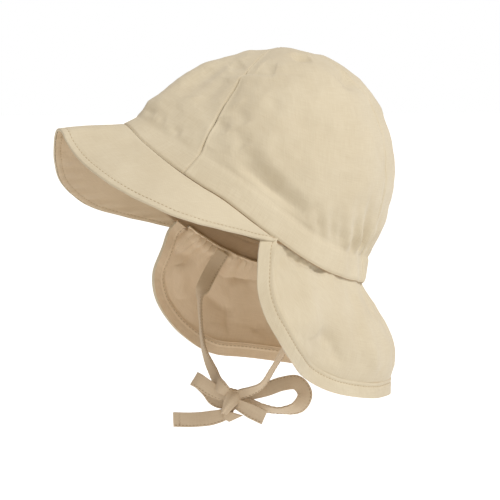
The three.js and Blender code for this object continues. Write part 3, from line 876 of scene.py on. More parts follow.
@dataclass
class Headband:
    """The facing inside the headband, and the casing of its elastic at the nape."""

    wall: float = 0.8
    inside: float = 1.15
    turn_down: float = -0.12
    turn_up: float = 0.9

    def strip(self, start: float, end: float, columns: int, ripple: float) -> np.ndarray:
        """The side of the facing that the head touches.

        Args:
            start: The angle where it starts.
            end: The angle where it ends.
            columns: How many parts it has along the band.
            ripple: How deep the elastic gathers it.

        Returns:
            Its points in millimetres.
        """
        angle = np.linspace(end, start, columns + 1)[:, None]
        place = from_brow(angle)
        low = 0.01 + self.turn_down * (1 - smoothstep(place, 84, 88))
        share = low + (self.turn_up - low) * eased(20, 0.3)[None, :]
        points = RING.band(angle + 0 * share, share)
        back = -unit(np.cross(RING.run(angle + 0 * share), RING.up(angle + 0 * share)))
        waves = ripple * np.cos(np.radians((angle - 180) * RING.ridge_count))
        waves = waves * np.sin(math.pi * np.maximum(share, 0) / self.turn_up)
        height = share * RING.band_height
        waves = waves + RING.gather(angle) * np.exp(-((height / RING.gather_reach) ** 2))
        dip = 0.4 * bump(height, 12.6, 0.8) + 0.3 * bump(height, 1.9, 0.6) + 0.12 * unevenness(points, 12, 21)
        fold = 0.75 * (1 - smoothstep(height, -0.6, 1.6))
        return points + back * (self.inside + self.wall + fold - waves - dip)[..., None]

    def build(self, cotton: bpy.types.Material, thread: bpy.types.Material) -> list[bpy.types.Object]:
        """Sews the facing and the casing.

        Args:
            cotton: Their cloth, darker and warmer than the outer cotton as painted shade inside the cap.
            thread: Their stitching.

        Returns:
            Both strips, each with its row of stitches.
        """
        made = []
        for name, node, start, end, columns, ripple in (
            ("headband_facing", "headband_front", -147.0, 147.0, 300, 0.0),
            ("elastic_casing", "headband_back", 147.0, 213.0, 150, 0.5),
        ):
            points = self.strip(start, end, columns, ripple)
            strip = lay_out(name, points, flat_pattern(points))
            thicken(strip, self.wall, 0.2)
            made.append(wear(strip, cotton, "cap_cotton", node))
            row = 17
            facing = normals(points)
            made.append(StitchRow().sew(f"{name}_stitches", points[:, row] + facing[:, row] * 0.05,
                                        facing[:, row], thread, "cap_cotton"))
        return made


# ---------------------------------------------------------------- peak


@dataclass
class Peak:
    """The peak: two layers turned out at the edge and topstitched."""

    reach: float = 42.0
    half_width: float = 74.0
    end_angle: float = 85.0
    sewn_share: float = 0.985
    layer: float = 1.1
    edge_radius: float = 0.95
    stitch_inset: float = 3.3
    columns: int = 210
    rows: int = 34
    side: Profile = Profile((0.0, 0.05, 0.1, 0.2, 0.35, 0.5, 0.65, 0.8, 0.9, 1.0),
                            (0.0, 0.075, 0.15, 0.32, 0.6, 0.85, 0.985, 1.0, 0.985, 0.95), Ends.CROSS_FIRST)
    forward: Profile = Profile((0.0, 0.05, 0.1, 0.2, 0.35, 0.5, 0.65, 0.8, 0.9, 1.0),
                               (1.0, 0.995, 0.975, 0.87, 0.61, 0.22, -0.21, -0.78, -1.22, -1.64))
    drop: Profile = Profile((0.0, 0.05, 0.1, 0.2, 0.35, 0.5, 0.65, 0.8, 0.9, 1.0),
                            (0.02, 0.036, 0.096, 0.206, 0.333, 0.44, 0.526, 0.59, 0.635, 0.676))

    def surface(self, along: np.ndarray, out: np.ndarray) -> np.ndarray:
        """Points of the upper side, along from -1 to 1 and out from 0 at the rim to 1 at the edge.

        Args:
            along: Places along the edge.
            out: Shares of the way out, with the same shape.

        Returns:
            A point for each pair.
        """
        angle = self.end_angle * along
        brow = RING.rim(np.zeros(1))[0]
        place = np.abs(along)
        edge = np.stack([
            np.sign(along) * self.half_width * self.side(place),
            brow[1] - self.reach * self.forward(place),
            brow[2] - (RING.brow + RING.nape) * self.drop(place),
        ], axis=-1)
        root = RING.rim(angle)
        return root + (edge - root) * out[..., None]

    def build(self, cotton: bpy.types.Material, lining: bpy.types.Material,
              thread: bpy.types.Material) -> list[bpy.types.Object]:
        """Sews the peak.

        Args:
            cotton: The upper cloth.
            lining: The cloth underneath, the outer cotton a shade darker as painted shade under the peak.
            thread: The topstitching.

        Returns:
            Its pieces.
        """
        along = self.sewn_share * (2 * eased(self.columns, 0.25) - 1)[:, None]
        out = eased(self.rows, 0.7)[None, :]
        flat = self.surface(along + 0 * out, out + 0 * along)
        run = arc(flat, 1)
        inset = run[:, -1:] - run
        length = arc(flat, 0)[:, -1:]
        upward = -normals(flat)
        sewn = -0.36 * bump(inset, self.stitch_inset, 0.6)
        pucker = 0.12 * np.sin(length / 3.1 + 0.6 * np.sin(length / 17)) * np.exp(-((inset / 5) ** 2))
        roll = -0.9 * bump(run, 0, 0.8)
        ease_in = 0.35 * unevenness(flat, 30, 33) * smoothstep(run, 2, 12) + 0.08 * unevenness(flat, 9, 35)
        top = flat + upward * (sewn + pucker + roll + ease_in)[..., None]
        steps = np.radians(np.linspace(20, 150, 6))
        outward = unit(top[:, -1] - top[:, -3])
        centre = top[:, -1] - upward[:, -1] * self.edge_radius
        wrap = np.stack([centre + upward[:, -1] * self.edge_radius * math.cos(s)
                         + outward * self.edge_radius * math.sin(s) for s in steps], axis=1)
        upper = np.concatenate([top, wrap], axis=1)[:, ::-1]
        made = []
        cloth = lay_out("peak_top_cloth", upper, flat_pattern(upper))
        thicken(cloth, 0.7, 0.2)
        made.append(wear(cloth, cotton, "cap_cotton", "peak_upper"))
        below = 2 * self.layer - 0.05
        uneven = 0.55 + 0.45 * np.sin(length / 13 + 1)
        creases = 0.42 * uneven * np.sin(length / 0.95 + 1.6 * np.sin(length / 8)) * np.exp(-((inset / 5.5) ** 2))
        creases = creases + 0.3 * np.sin(length / 2.9 + inset / 3) * np.exp(-(((inset - 6) / 6) ** 2))
        under_lift = -below + 0.22 * bump(inset, self.stitch_inset, 0.7) + creases + ease_in
        under_lift = under_lift + 0.55 * (1 - smoothstep(inset, 0, 1.4)) + 0.6 * bump(run, 0, 0.9)
        under = flat + upward * under_lift[..., None]
        piece = lay_out("peak_lining_cloth", under, flat_pattern(under))
        thicken(piece, 0.8, 0.2)
        made.append(wear(piece, lining, "lining_cotton", "peak_under"))
        beside = np.array([np.interp(self.stitch_inset, inset[i, ::-1], np.arange(run.shape[1])[::-1])
                           for i in range(len(run))])
        low = np.floor(beside).astype(int)
        part = (beside - low)[:, None]
        which = np.arange(len(run))
        for name, grid, way in (("peak_topstitches", top, upward), ("peak_lining_stitches", under, -upward)):
            line = grid[which, low] * (1 - part) + grid[which, low + 1] * part
            face = way[which, low]
            made.append(StitchRow().sew(name, line + face * 0.06, face, thread, "cap_cotton"))
        return made


# ---------------------------------------------------------------- neck flap


@dataclass
class NeckFlap:
    """The flap that hangs from ear to ear round the nape, with a folded hem round its free edge."""

    drop_length: float = 118.0
    half_width: float = 84.0
    half_length: float = 96.0
    wall: float = 1.2
    tuck: float = 3.1
    # the cloth starts this far along the edge, past the hem's own width
    corner_share: float = 0.045
    belly_depth: float = 8.0
    hem_width: float = 9.6
    hem_wall: float = 2.5
    hem_proud: float = 0.75
    stitch_inset: float = 7.3
    # the root comes out from behind the band between these angles
    free_from: float = 85.0
    free_span: float = 55.0
    belly_sag: float = 1.1
    # how high behind the band the root is sewn, beside the ears and at the nape
    root_rise: float = 3.0
    nape_rise: float = 1.6
    columns: int = 360
    rows: int = 60
    # soft creases of the hanging cloth, each on its line of (along, down)
    folds: tuple[Fold, ...] = (
        Fold(((1.51, 0.32), (1.41, 0.27), (1.3, 0.2)), 3.2, 2.6, crisp=True),
        Fold(((1.55, 0.58), (1.45, 0.62), (1.37, 0.66)), 4.5, 2.4),
        Fold(((1.41, 0.6), (1.385, 0.78), (1.35, 0.98)), 3.2, 2.0, crisp=True),
        Fold(((1.89, 0.82), (1.78, 0.52), (1.66, 0.32)), 4.5, 2.4),
        Fold(((1.74, 0.62), (1.66, 0.72), (1.6, 0.88)), 5.0, -2.0),
        Fold(((1.6, 0.18), (1.5, 0.14), (1.4, 0.08)), 4.0, -1.4),
        Fold(((0.42, 0.35), (0.47, 0.6), (0.52, 0.85)), 9.0, 1.3),
        Fold(((0.3, 0.3), (0.36, 0.6), (0.42, 0.85)), 7.0, -1.5),
        Fold(((0.54, 0.69), (0.62, 0.74), (0.7, 0.88)), 5.0, -2.2),
        Fold(((0.74, 0.45), (0.77, 0.7), (0.8, 0.92)), 6.0, 1.5),
        Fold(((0.88, 0.3), (0.89, 0.6), (0.9, 0.9)), 8.0, -1.8),
        Fold(((1.08, 0.3), (1.09, 0.6), (1.1, 0.9)), 8.0, -1.8),
        Fold(((1.24, 0.4), (1.27, 0.7), (1.3, 0.9)), 7.0, 1.6),
    )
    places: tuple[float, ...] = (0.0, 0.1, 0.2, 0.3, 0.4, 0.5, 0.6, 0.7, 0.8, 0.9, 1.0)
    corner_places: tuple[float, ...] = (0.0, 0.045, 0.1, 0.2, 0.3, 0.4, 0.5, 0.6, 0.7, 0.8, 0.9, 1.0)

    def __post_init__(self) -> None:
        """Makes the curves of the flap's outline from its table."""
        self.side = Profile(self.corner_places, (0.787, 0.833, 0.87, 0.955, 1.012, 1.035, 0.975, 0.845, 0.76, 0.62,
                                                 0.36, 0.0), Ends.CROSS_LAST)
        self.depth = Profile(self.corner_places, (-0.215, -0.262, -0.29, -0.326, -0.3, -0.22, -0.1, 0.06, 0.3, 0.63,
                                                  0.885, 0.96))
        self.drop = Profile(self.corner_places, (0.07, 0.13, 0.22, 0.36, 0.49, 0.61, 0.73, 0.835, 0.925, 0.98, 0.985,
                                                 0.985))
        self.lift = Profile(self.places, (0, 0, 0, 0, 0, 0, 0.012, 0.075, 0.09, 0.05, 0))
        self.rim_angle = Profile(self.places, (84, 88, 92, 97, 102, 108, 116, 127, 141, 159, 180))
        self.belly = Profile(self.places, (0, 0.1, 0.2, 0.3, 0.45, 0.7, 1, 1.1, 1.15, 1.15, 1.15))

    def edge(self, along: np.ndarray) -> np.ndarray:
        """Points of the outer edge, along from 0 at the left front corner to 2 at the right one.

        Args:
            along: Places along the edge.

        Returns:
            A point for each place.
        """
        right = along > 1
        place = np.where(right, 2 - along, along)
        return np.stack([
            np.where(right, -1, 1) * self.half_width * self.side(place),
            self.half_length * self.depth(place),
            -self.drop_length * (self.drop(place) - np.where(right, self.lift(place), 0)),
        ], axis=-1)

    def inside_edge(self, along: np.ndarray, width: np.ndarray) -> np.ndarray:
        """Points a given width inside the edge.

        Args:
            along: Places along the edge.
            width: Distances from it, in millimetres, with the same shape.

        Returns:
            A point for each pair.
        """
        here = self.edge(along)
        run = self.edge(np.minimum(along + 0.01, 2)) - self.edge(np.maximum(along - 0.01, 0))
        out = np.stack([here[..., 0] / self.half_width, here[..., 1] / self.half_length,
                        np.zeros_like(along)], axis=-1)
        return here + unit(np.cross(out, run)) * width[..., None]

    def root(self, angle: np.ndarray) -> np.ndarray:
        """Points where the flap is sewn under the band, well behind it by the ears and less so at the nape.

        Args:
            angle: Angles round the ring, in degrees.

        Returns:
            A point for each angle.
        """
        free = smoothstep(from_brow(angle), self.free_from, self.free_from + self.free_span)
        inwards = self.tuck * (1 - free) + 0.3 + (1.3 - RING.gather(angle)) * free
        rise = self.root_rise + (self.nape_rise - self.root_rise) * free
        return RING.rim(angle) - RING.outward(angle) * inwards[..., None] + UP * rise[..., None]

    def angle_at(self, along: np.ndarray) -> np.ndarray:
        """Where the line of cloth that ends at a place of the edge leaves the band.

        Args:
            along: Places along the edge.

        Returns:
            An angle round the ring for each place, in degrees.
        """
        right = along > 1
        angle = self.rim_angle(np.where(right, 2 - along, along))
        return np.where(right, 360 - angle, angle)

    def surface(self, along: np.ndarray, down: np.ndarray, width: float | None = None) -> np.ndarray:
        """Points of the flap, down from 0 at the band to 1 at a given width inside the edge.

        Args:
            along: Places along the edge.
            down: Shares of the way down.
            width: Where the cloth ends, in millimetres inside the edge. Without it, just beyond the hem.

        Returns:
            A point for each pair.
        """
        along, down = np.broadcast_arrays(np.asarray(along, float), np.asarray(down, float))
        inset = self.hem_width + 0.7 if width is None else width
        angle = self.angle_at(along)
        root = self.root(angle)
        foot = self.inside_edge(along, np.full(along.shape, inset))
        swell = self.belly_depth * self.belly(np.where(along > 1, 2 - along, along))
        sag = self.belly_sag + 0.35 * smoothstep(from_brow(angle), 112, 140)
        swell = swell * np.sin(math.pi * down ** sag)
        return root + (foot - root) * down[..., None] + RING.outward(angle) * swell[..., None]

    def hang(self, points: np.ndarray, along: np.ndarray, down: np.ndarray) -> np.ndarray:
        """How far the hanging cloth stands off its plain shape.

        Args:
            points: The flap's plain points, in millimetres.
            along: Their places along the edge.
            down: Their shares of the way down.

        Returns:
            Millimetres outwards.
        """
        angle = self.angle_at(along) + 0 * down
        fallen = arc(points[:, ::-1], 1)[:, ::-1]
        sewn_run = arc(points, 0)[:, -1:]
        beside = from_brow(angle)
        sewn_in = np.where(along > 1, 1.9, 0.45)
        elastic = sewn_in * (1 - smoothstep(beside, 104, 128)) + 0.7 * smoothstep(beside, 140, 152)
        puckers = np.sin(sewn_run * 1.25 + 0.8 * np.sin(sewn_run * 0.21)) * np.exp(-fallen / 6.5)
        long_pleats = np.sin(sewn_run * 0.47 + 1.3 * np.sin(sewn_run * 0.09)) * bump(fallen, 10, 11)
        lift = elastic * (puckers * smoothstep(fallen, 0.5, 3) + 0.9 * long_pleats)
        # soft falls of the cloth between the band and the hem
        falls = np.sin(np.radians(angle * 7.0 + 40)) * 0.8 + np.sin(np.radians(angle * 12.0 - 75)) * 0.5
        lift = lift + falls * np.sin(math.pi * down) ** 1.2
        # the crease that rolls under the band behind the peak's end, on both sides
        for side in (1, -1):
            crease = self.surface(np.linspace(0.22, 0.5, 20) if side > 0 else np.linspace(1.78, 1.5, 20),
                                  np.linspace(0.14, 0.05, 20))
            far = np.linalg.norm(points[..., None, :] - crease, axis=-1).min(axis=-1)
            lift = lift - 2.6 * bump(far, 0, 3.0)
        lift = lift + sum(fold.height(points, self.surface) for fold in self.folds)
        lift = lift - 1.2 * np.abs(unevenness(points, 40, 57)) - 0.5 * np.abs(unevenness(points, 22, 51))
        return lift + 0.12 * unevenness(points, 9, 53)

    def build(self, cotton: bpy.types.Material, painted_light_inside: bpy.types.Material,
              thread: bpy.types.Material) -> list[bpy.types.Object]:
        """Sews the flap and its hem.

        Args:
            cotton: The outer cloth.
            painted_light_inside: The same cloth's other side, painted lighter and warmer as bounce light inside the
                flap.
            thread: The stitching of the hem.

        Returns:
            Its pieces.
        """
        share = np.linspace(0, 1, self.columns + 1)[:, None]
        along = self.corner_share + (2 - 2 * self.corner_share) * share
        down = (1 - eased(self.rows, 0.35))[None, :]
        plain = self.surface(along, down, self.hem_width - 1.0)
        lift = self.hang(plain, along, down)
        near_hem = smoothstep(down, 0.82, 0.97)
        points = plain + normals(plain) * (lift * (1 - near_hem))[..., None]
        fallen = arc(points[:, ::-1], 1)[:, ::-1]
        points = points - normals(points) * (0.7 * bump(fallen, 0, 0.8))[..., None]
        flap = lay_out("neck_flap_cloth", points, flat_pattern(points))
        thicken(flap, self.wall, 0.25)
        wear(flap, cotton, "cap_cotton", "neck_flap")
        # the inner faces get the lighter, warmer copy of the cloth, painted bounce light
        line_inside(flap, painted_light_inside)
        made = [flap]

        around = np.linspace(0, 2, 2 * self.columns + 1)[:, None]
        width = (self.hem_width * eased(20, 0.6))[None, :]
        plain = self.inside_edge(around + 0 * width, width + 0 * around)
        length = arc(plain, 0)[:, :1]
        roping = 0.05 * np.sin(length * 1.15 + width * 0.8) * np.sin(math.pi * width / self.hem_width)
        waves = 0.25 * unevenness(plain, 18, 61)
        groove = -0.5 * bump(width, self.stitch_inset, 0.65)
        lift = self.hem_proud + roping + groove + waves
        outer = plain + normals(plain) * lift[..., None]
        hem = lay_out("flap_hem_fold", outer, flat_pattern(outer))
        thicken(hem, self.hem_wall, 0.5)
        wear(hem, cotton, "cap_cotton", "flap_hem")
        line_inside(hem, painted_light_inside)
        made.append(hem)
        facing = normals(outer)
        row = int(np.argmin(np.abs(width[0] - self.stitch_inset)))
        made.append(StitchRow().sew("hem_stitches_outside", outer[:, row] + facing[:, row] * 0.08,
                                    facing[:, row], thread, "cap_cotton"))
        made.append(StitchRow().sew("hem_stitches_inside", outer[:, row] - facing[:, row] * (self.hem_wall + 0.05),
                                    -facing[:, row], thread, "cap_cotton"))
        return made


# ---------------------------------------------------------------- tapes and bow


class Across(Enum):
    """Which way a tape's face looks where the table's own angle would turn it over."""

    FRONT = 1
    BACK = -1


@dataclass(frozen=True)
class TapeRow:
    """A place on a tape's route, and the way that its flat side looks there."""

    place: tuple[float, float, float]
    turn: float
    tilt: float
    width: float = 1.0


def looking(turn: np.ndarray, tilt: np.ndarray) -> np.ndarray:
    """The directions that a tape's flat side looks in, from two angles in degrees."""
    a, e = np.radians(turn), np.radians(tilt)
    return np.stack([np.sin(a) * np.cos(e), -np.cos(a) * np.cos(e), np.sin(e)], axis=-1)


def smooth_route(points: np.ndarray, steps: int) -> np.ndarray:
    """A smooth line through points, as a limp tape lies.

    Args:
        points: The points that it passes through.
        steps: How many parts each span has.

    Returns:
        The line's points.
    """
    ends = np.concatenate([[2 * points[0] - points[1]], points, [2 * points[-1] - points[-2]]])
    gaps = np.maximum(np.linalg.norm(np.diff(ends, axis=0), axis=1) ** 0.5, 1e-6)
    line = []
    for i in range(1, len(ends) - 2):
        p0, p1, p2, p3 = ends[i - 1:i + 3]
        g0, g1, g2 = gaps[i - 1:i + 2]
        m1 = ((p1 - p0) / g0 - (p2 - p0) / (g0 + g1) + (p2 - p1) / g1) * g1
        m2 = ((p2 - p1) / g1 - (p3 - p1) / (g1 + g2) + (p3 - p2) / g2) * g1
        s = np.arange(steps)[:, None] / steps
        line.append(p1 + s * (m1 + s * (3 * (p2 - p1) - 2 * m1 - m2 + s * (m1 + m2 - 2 * (p2 - p1)))))
    return np.concatenate([*line, points[-1:]])


@dataclass
class Tapes:
    """Two flat cotton tapes, sewn in behind the ears and tied in a bow under the chin."""

    width: float = 9.6
    wall: float = 1.2
    left_seat: tuple[float, float, float] = (0.34, 6.5, 4.4)
    right_seat: tuple[float, float, float] = (1.572, 1.6, 1.9)
    knot: tuple[float, float, float] = (0.0, -11.5, -119.3)
    bow_turn: float = 55.0
    wrap_slant: float = 31.0
    steps: int = 14

    # Rows of x, y, z, turn and tilt, as the part's own source has them. Some end with the share of its width
    # that the tape keeps where it is folded together.
    left_tie: tuple[tuple[float, ...], ...] = (
        (62.5, 10.5, -48, 104, 0), (53, 9.5, -67, 114, 0), (41, 5, -84, 116, 0, 0.85),
        (30, 3, -96, 113, 0, 0.66), (18, 0.5, -108, 105, 4, 0.6))
    right_tie: tuple[tuple[float, ...], ...] = (
        (-64, 4.2, -40.4, 66, 0), (-59.5, -4.8, -52.9, 54, 0), (-57.5, -7.9, -59.5, -2, 0, 0.85),
        (-49, -11.3, -74, -9, 0, 0.62), (-34, -15.5, -90.5, 6, 0, 0.62), (-18, -16, -103.5, 22, 5, 0.85))
    # Rows in the plane of the bow, from the knot's middle: right, rise, out, turn and tilt.
    left_loop: tuple[tuple[float, ...], ...] = (
        (7, 4, -1, 55, 0), (21.8, 7.6, -2.5, 46, 22), (32, 11.2, -2.5, 46, 26), (41.5, 12, -1.5, 50, 16),
        (46.6, 5.2, 0.5, 62, 0), (42.4, -2.6, 1.5, 58, -34), (32, -5.4, 0.5, 52, -60), (19.5, -4.2, -1, 52, -52),
        (7, -1.6, -1.6, 55, -10))
    right_loop: tuple[tuple[float, ...], ...] = (
        (-7, 4.2, 0.9, 55, 0), (-15, 8.4, 1.6, 55, 0), (-21.5, 12.6, 1.2, 40, 8), (-24, 13.2, -1, -35, 30),
        (-21, 11, -3, -110, 8), (-15.5, 5.4, -4, -125, 0), (-12, 0.6, -4, -128, 12), (-7, -1.6, -2.4, -125, 0))
    left_tail: tuple[tuple[float, ...], ...] = ((5, -2.2, 3.6, 56, 0), (12.9, -5.7, 4.6, 58, -4),
                                                (21.6, -9.6, 4.8, 60, -6))
    right_tail: tuple[tuple[float, ...], ...] = ((-4, -8.2, 0.5, 55, 0), (-13, -11, 1.2, 52, 0),
                                                 (-25, -12.4, 1.6, 55, 0), (-37.5, -12.6, 1.2, 58, 0))

    def in_bow(self, right: float, rise: float, out: float) -> np.ndarray:
        """A place given in the plane of the bow.

        Args:
            right: Millimetres to the right of the knot's middle, seen from the bow's front.
            rise: Millimetres above it.
            out: Millimetres in front of it.

        Returns:
            The point.
        """
        sideways = looking(np.array(self.bow_turn + 90), np.array(0.0))
        forward = looking(np.array(self.bow_turn), np.array(0.0))
        return np.array(self.knot) + sideways * right + UP * rise + forward * out

    def bow_rows(self, table: tuple[tuple[float, ...], ...], way: Across, first: float = 0.75,
                 last: float = 1.0) -> list[TapeRow]:
        """Rows of a loop or a tail, narrowed where it goes into the knot.

        Args:
            table: Its rows of right, rise, out, turn and tilt.
            way: Which way its face looks.
            first: The share of its width at the first row.
            last: The share at the last row.

        Returns:
            The rows in the part's own frame.
        """
        turned = 0 if way is Across.FRONT else -180
        rows = []
        for i, (right, rise, out, turn, tilt) in enumerate(table):
            share = first if i == 0 else last if i == len(table) - 1 else 1.0
            rows.append(TapeRow(tuple(self.in_bow(right, rise, out)), turn + turned, tilt * way.value, share))
        return rows

    def seat(self, flap: NeckFlap, along: float, below: float, behind: float) -> TapeRow:
        """Where a tie is sewn to the inside of the flap, at distances below the band and behind the cloth.

        Args:
            flap: The flap.
            along: The place along its edge.
            below: Millimetres below the band.
            behind: Millimetres behind the cloth.

        Returns:
            The tape's first row.
        """
        length = np.linalg.norm(flap.surface(along, 0.0) - flap.surface(along, 1.0))
        down = below / length
        across = flap.surface(along + 0.01, down) - flap.surface(along - 0.01, down)
        rise = flap.surface(along, 0.0) - flap.surface(along, 2 * down)
        out = unit(np.cross(across, rise))
        place = flap.surface(along, down) - out * (flap.wall + self.wall / 2 + behind)
        turn = math.degrees(math.atan2(out[0], -out[1])) + (180 if along > 1 else 0)
        return TapeRow(tuple(place), turn, 0.0)

    def route(self, rows: list[TapeRow]) -> tuple[np.ndarray, np.ndarray, np.ndarray, np.ndarray]:
        """A tape's line and its frame.

        Args:
            rows: The places that it passes through.

        Returns:
            The points of its middle, the directions across it and out of its face, and its width there.
        """
        line = smooth_route(np.array([row.place for row in rows]), self.steps)
        step = np.linspace(0, len(rows) - 1, len(line))
        turn, tilt, share = (np.interp(step, range(len(rows)), [getattr(row, key) for row in rows])
                             for key in ("turn", "tilt", "width"))
        run = unit(np.gradient(line, axis=0))
        across = unit(np.cross(run, looking(turn, tilt)))
        face = np.cross(across, run)
        return line, across, face, share

    def tape(self, name: str, rows: list[TapeRow], cotton: bpy.types.Material, thread: bpy.types.Material,
             seed: int, replaced: tuple[str, ...]) -> bpy.types.Object:
        """Makes a whole tape, from where it is sewn in, through the knot, to its free end.

        Args:
            name: The tape's name.
            rows: Its route.
            cotton: The tape's cloth.
            thread: The stitching along its edge.
            seed: Which small unevenness it has.
            replaced: The nodes that it stands for.

        Returns:
            The tape.
        """
        line, across, face, share = self.route(rows)
        side = np.linspace(-1, 1, 13)[None, :]
        length = arc(line, 0)[:, None]
        half = (self.width / 2 - 0.15) * share[:, None]
        camber = 0.22 * (1 - side ** 2) + 0.22 * unevenness(line, 13, seed)[:, None] * side
        groove = -0.16 * bump(side * self.width / 2, -3.6, 0.45)
        ripple = 0.12 * np.sin(length * 1.7 + side) * np.abs(side) ** 3
        points = line[:, None] + across[:, None] * (half * side)[..., None]
        points = points + face[:, None] * (camber + groove + ripple)[..., None]
        pattern = np.stack([half * side, length + 0 * side], axis=-1)
        obj = lay_out(name, points, pattern)
        thicken(obj, self.wall, 0.35, offset=0.0)
        wear(obj, cotton, "tape_cotton", *replaced)
        sewn = line + across * (half * -0.78) + face * (self.wall / 2 + 0.08)
        stitches = StitchRow(pitch=2.3, length=1.7, radius=0.2)
        edge = stitches.sew(f"{name}_edge_stitches", sewn, face, thread, "tape_cotton")
        back = stitches.sew(f"{name}_back_stitches", sewn - face * (self.wall + 0.2), -face, thread, "tape_cotton")
        tack = self.bartack(f"{name}_end_tack", line, across, face, 4.4, thread)
        return obj

    def bartack(self, name: str, line: np.ndarray, across: np.ndarray, face: np.ndarray, inset: float,
                thread: bpy.types.Material) -> bpy.types.Object:
        """The close stitches across a tape's free end, which hold its turned end down.

        Args:
            name: The row's name.
            line: The tape's middle line.
            across: The directions across it.
            face: The directions out of its face.
            inset: Millimetres from the free end.
            thread: The stitching.

        Returns:
            The row as one piece.
        """
        run = arc(line, 0)
        at = np.array([np.interp(run[-1] - inset, run, line[:, k]) for k in range(3)])
        back = line[-1] - at
        rise = face[-1] * (self.wall / 2 + 0.1)
        points = [at + across[-1] * side * self.width * 0.38 + back * (0.18 if i % 2 else -0.12) + rise
                  for i, side in enumerate(np.linspace(-1, 1, 9))]
        facing = np.repeat(face[-1:], len(points), axis=0)
        return StitchRow(pitch=1.15, length=1.1, radius=0.22).sew(name, np.array(points), facing, thread,
                                                                   "tape_cotton")

    def wrap(self, cotton: bpy.types.Material) -> bpy.types.Object:
        """The turn of tape round the middle of the bow, wide over the top and drawn together below.

        Args:
            cotton: The tape's cloth.

        Returns:
            The wrap.
        """
        around = np.linspace(0, 2 * math.pi, 73)[:-1][:, None]
        side = np.linspace(-1, 1, 17)[None, :]
        right = looking(np.array(self.bow_turn + 90), np.array(0.0))
        forward = looking(np.array(self.bow_turn), np.array(0.0))
        slant = math.radians(self.wrap_slant)
        down = -UP * math.cos(slant) - right * math.sin(slant)
        aside = right * math.cos(slant) - UP * math.sin(slant)
        height = 9.0 - 1.2 * side ** 2
        depth = 5.9 - 1.5 * side ** 2
        low = 0.5 - 0.5 * np.cos(around)
        half = 4.9 - 2.5 * smoothstep(low, 0.15, 1.0)
        pleat = 0.4 * np.sin(side * 5 + around * 1.5)
        middle = np.array(self.knot) + forward * 0.6 - right * 0.8 - UP * 1.2
        points = (middle - down * (height * np.cos(around) + pleat * np.cos(around))[..., None]
                  + forward * ((depth + pleat) * np.sin(around))[..., None] + aside * (half * side)[..., None])
        closed = np.concatenate([points, points[:1]], axis=0)
        pattern = np.stack([half * side + 0 * around, around * 6 + 0 * side], axis=-1)
        pattern = np.concatenate([pattern, pattern[-1:] + [0, 0.5]], axis=0)
        obj = lay_out("bow_knot_wrap", closed, pattern)
        bpy.ops.object.mode_set(mode="EDIT")
        bpy.ops.mesh.select_all(action="SELECT")
        bpy.ops.mesh.remove_doubles(threshold=0.00001)
        bpy.ops.mesh.normals_make_consistent(inside=False)
        bpy.ops.object.mode_set(mode="OBJECT")
        thicken(obj, 1.1, 0.3)
        return wear(obj, cotton, "tape_cotton", "bow_knot")

    def fold_below(self, cotton: bpy.types.Material) -> bpy.types.Object:
        """The folded corner of tape that the knot has pulled out below it.

        Args:
            cotton: The tape's cloth.

        Returns:
            The corner.
        """
        ahead, down = np.linspace(0, 1, 13)[:, None, None], np.linspace(0, 1, 9)[None, :, None]
        corners = [self.in_bow(*place) for place in ((-5.2, -5.0, 2.2), (7.4, -9.0, 1.6), (-4.8, -11.2, 3.0),
                                                     (-1.4, -13.2, 2.2))]
        points = ((1 - ahead) * (1 - down) * corners[0] + ahead * (1 - down) * corners[1]
                  + (1 - ahead) * down * corners[2] + ahead * down * corners[3])
        points = points + looking(np.array(self.bow_turn), np.array(0.0)) * np.sin(math.pi * ahead) * (0.9 - down)
        obj = lay_out("bow_knot_fold", points[::-1], flat_pattern(points[::-1]))
        thicken(obj, 1.1, 0.3, offset=0.0)
        return wear(obj, cotton, "tape_cotton")

    def build(self, flap: NeckFlap, cotton: bpy.types.Material, thread: bpy.types.Material) -> list[bpy.types.Object]:
        """Ties the bow.

        Args:
            flap: The flap that the tapes are sewn to.
            cotton: The tapes' cloth.
            thread: Their stitching.

        Returns:
            The tapes and the knot.
        """
        def inner(right: float, rise: float, out: float, turn: float) -> TapeRow:
            """A place inside the knot, where a tape is drawn together."""
            return TapeRow(tuple(self.in_bow(right, rise, out)), turn, 0.0, 0.5)

        left = [self.seat(flap, *self.left_seat), *(TapeRow(r[:3], *r[3:]) for r in self.left_tie),
                TapeRow(tuple(self.in_bow(8.0, 5.0, 2.4)), 86, 10, 0.6), inner(0, 4, 2.6, 60),
                *self.bow_rows(self.right_loop, Across.FRONT, 0.85, 0.85), inner(0, -1.5, -0.5, -125),
                *self.bow_rows(self.left_tail, Across.BACK)]
        right = [self.seat(flap, *self.right_seat), *(TapeRow(r[:3], *r[3:]) for r in self.right_tie),
                 TapeRow(tuple(self.in_bow(-6.2, 9.2, 4.4)), 42, 5, 0.9), inner(0, 4.5, 1.5, 50),
                 *self.bow_rows(self.left_loop, Across.FRONT, 0.85, 0.85), inner(0, -4, -1, 55),
                 *self.bow_rows(self.right_tail, Across.FRONT, 0.8)]
        return [
            self.tape("left_tape", left, cotton, thread, 71, ("left_tie", "right_bow_loop", "left_bow_tail")),
            self.tape("right_tape", right, cotton, thread, 73, ("right_tie", "left_bow_loop", "right_bow_tail")),
            self.wrap(cotton),
            self.fold_below(cotton),
        ]


# ---------------------------------------------------------------- studio


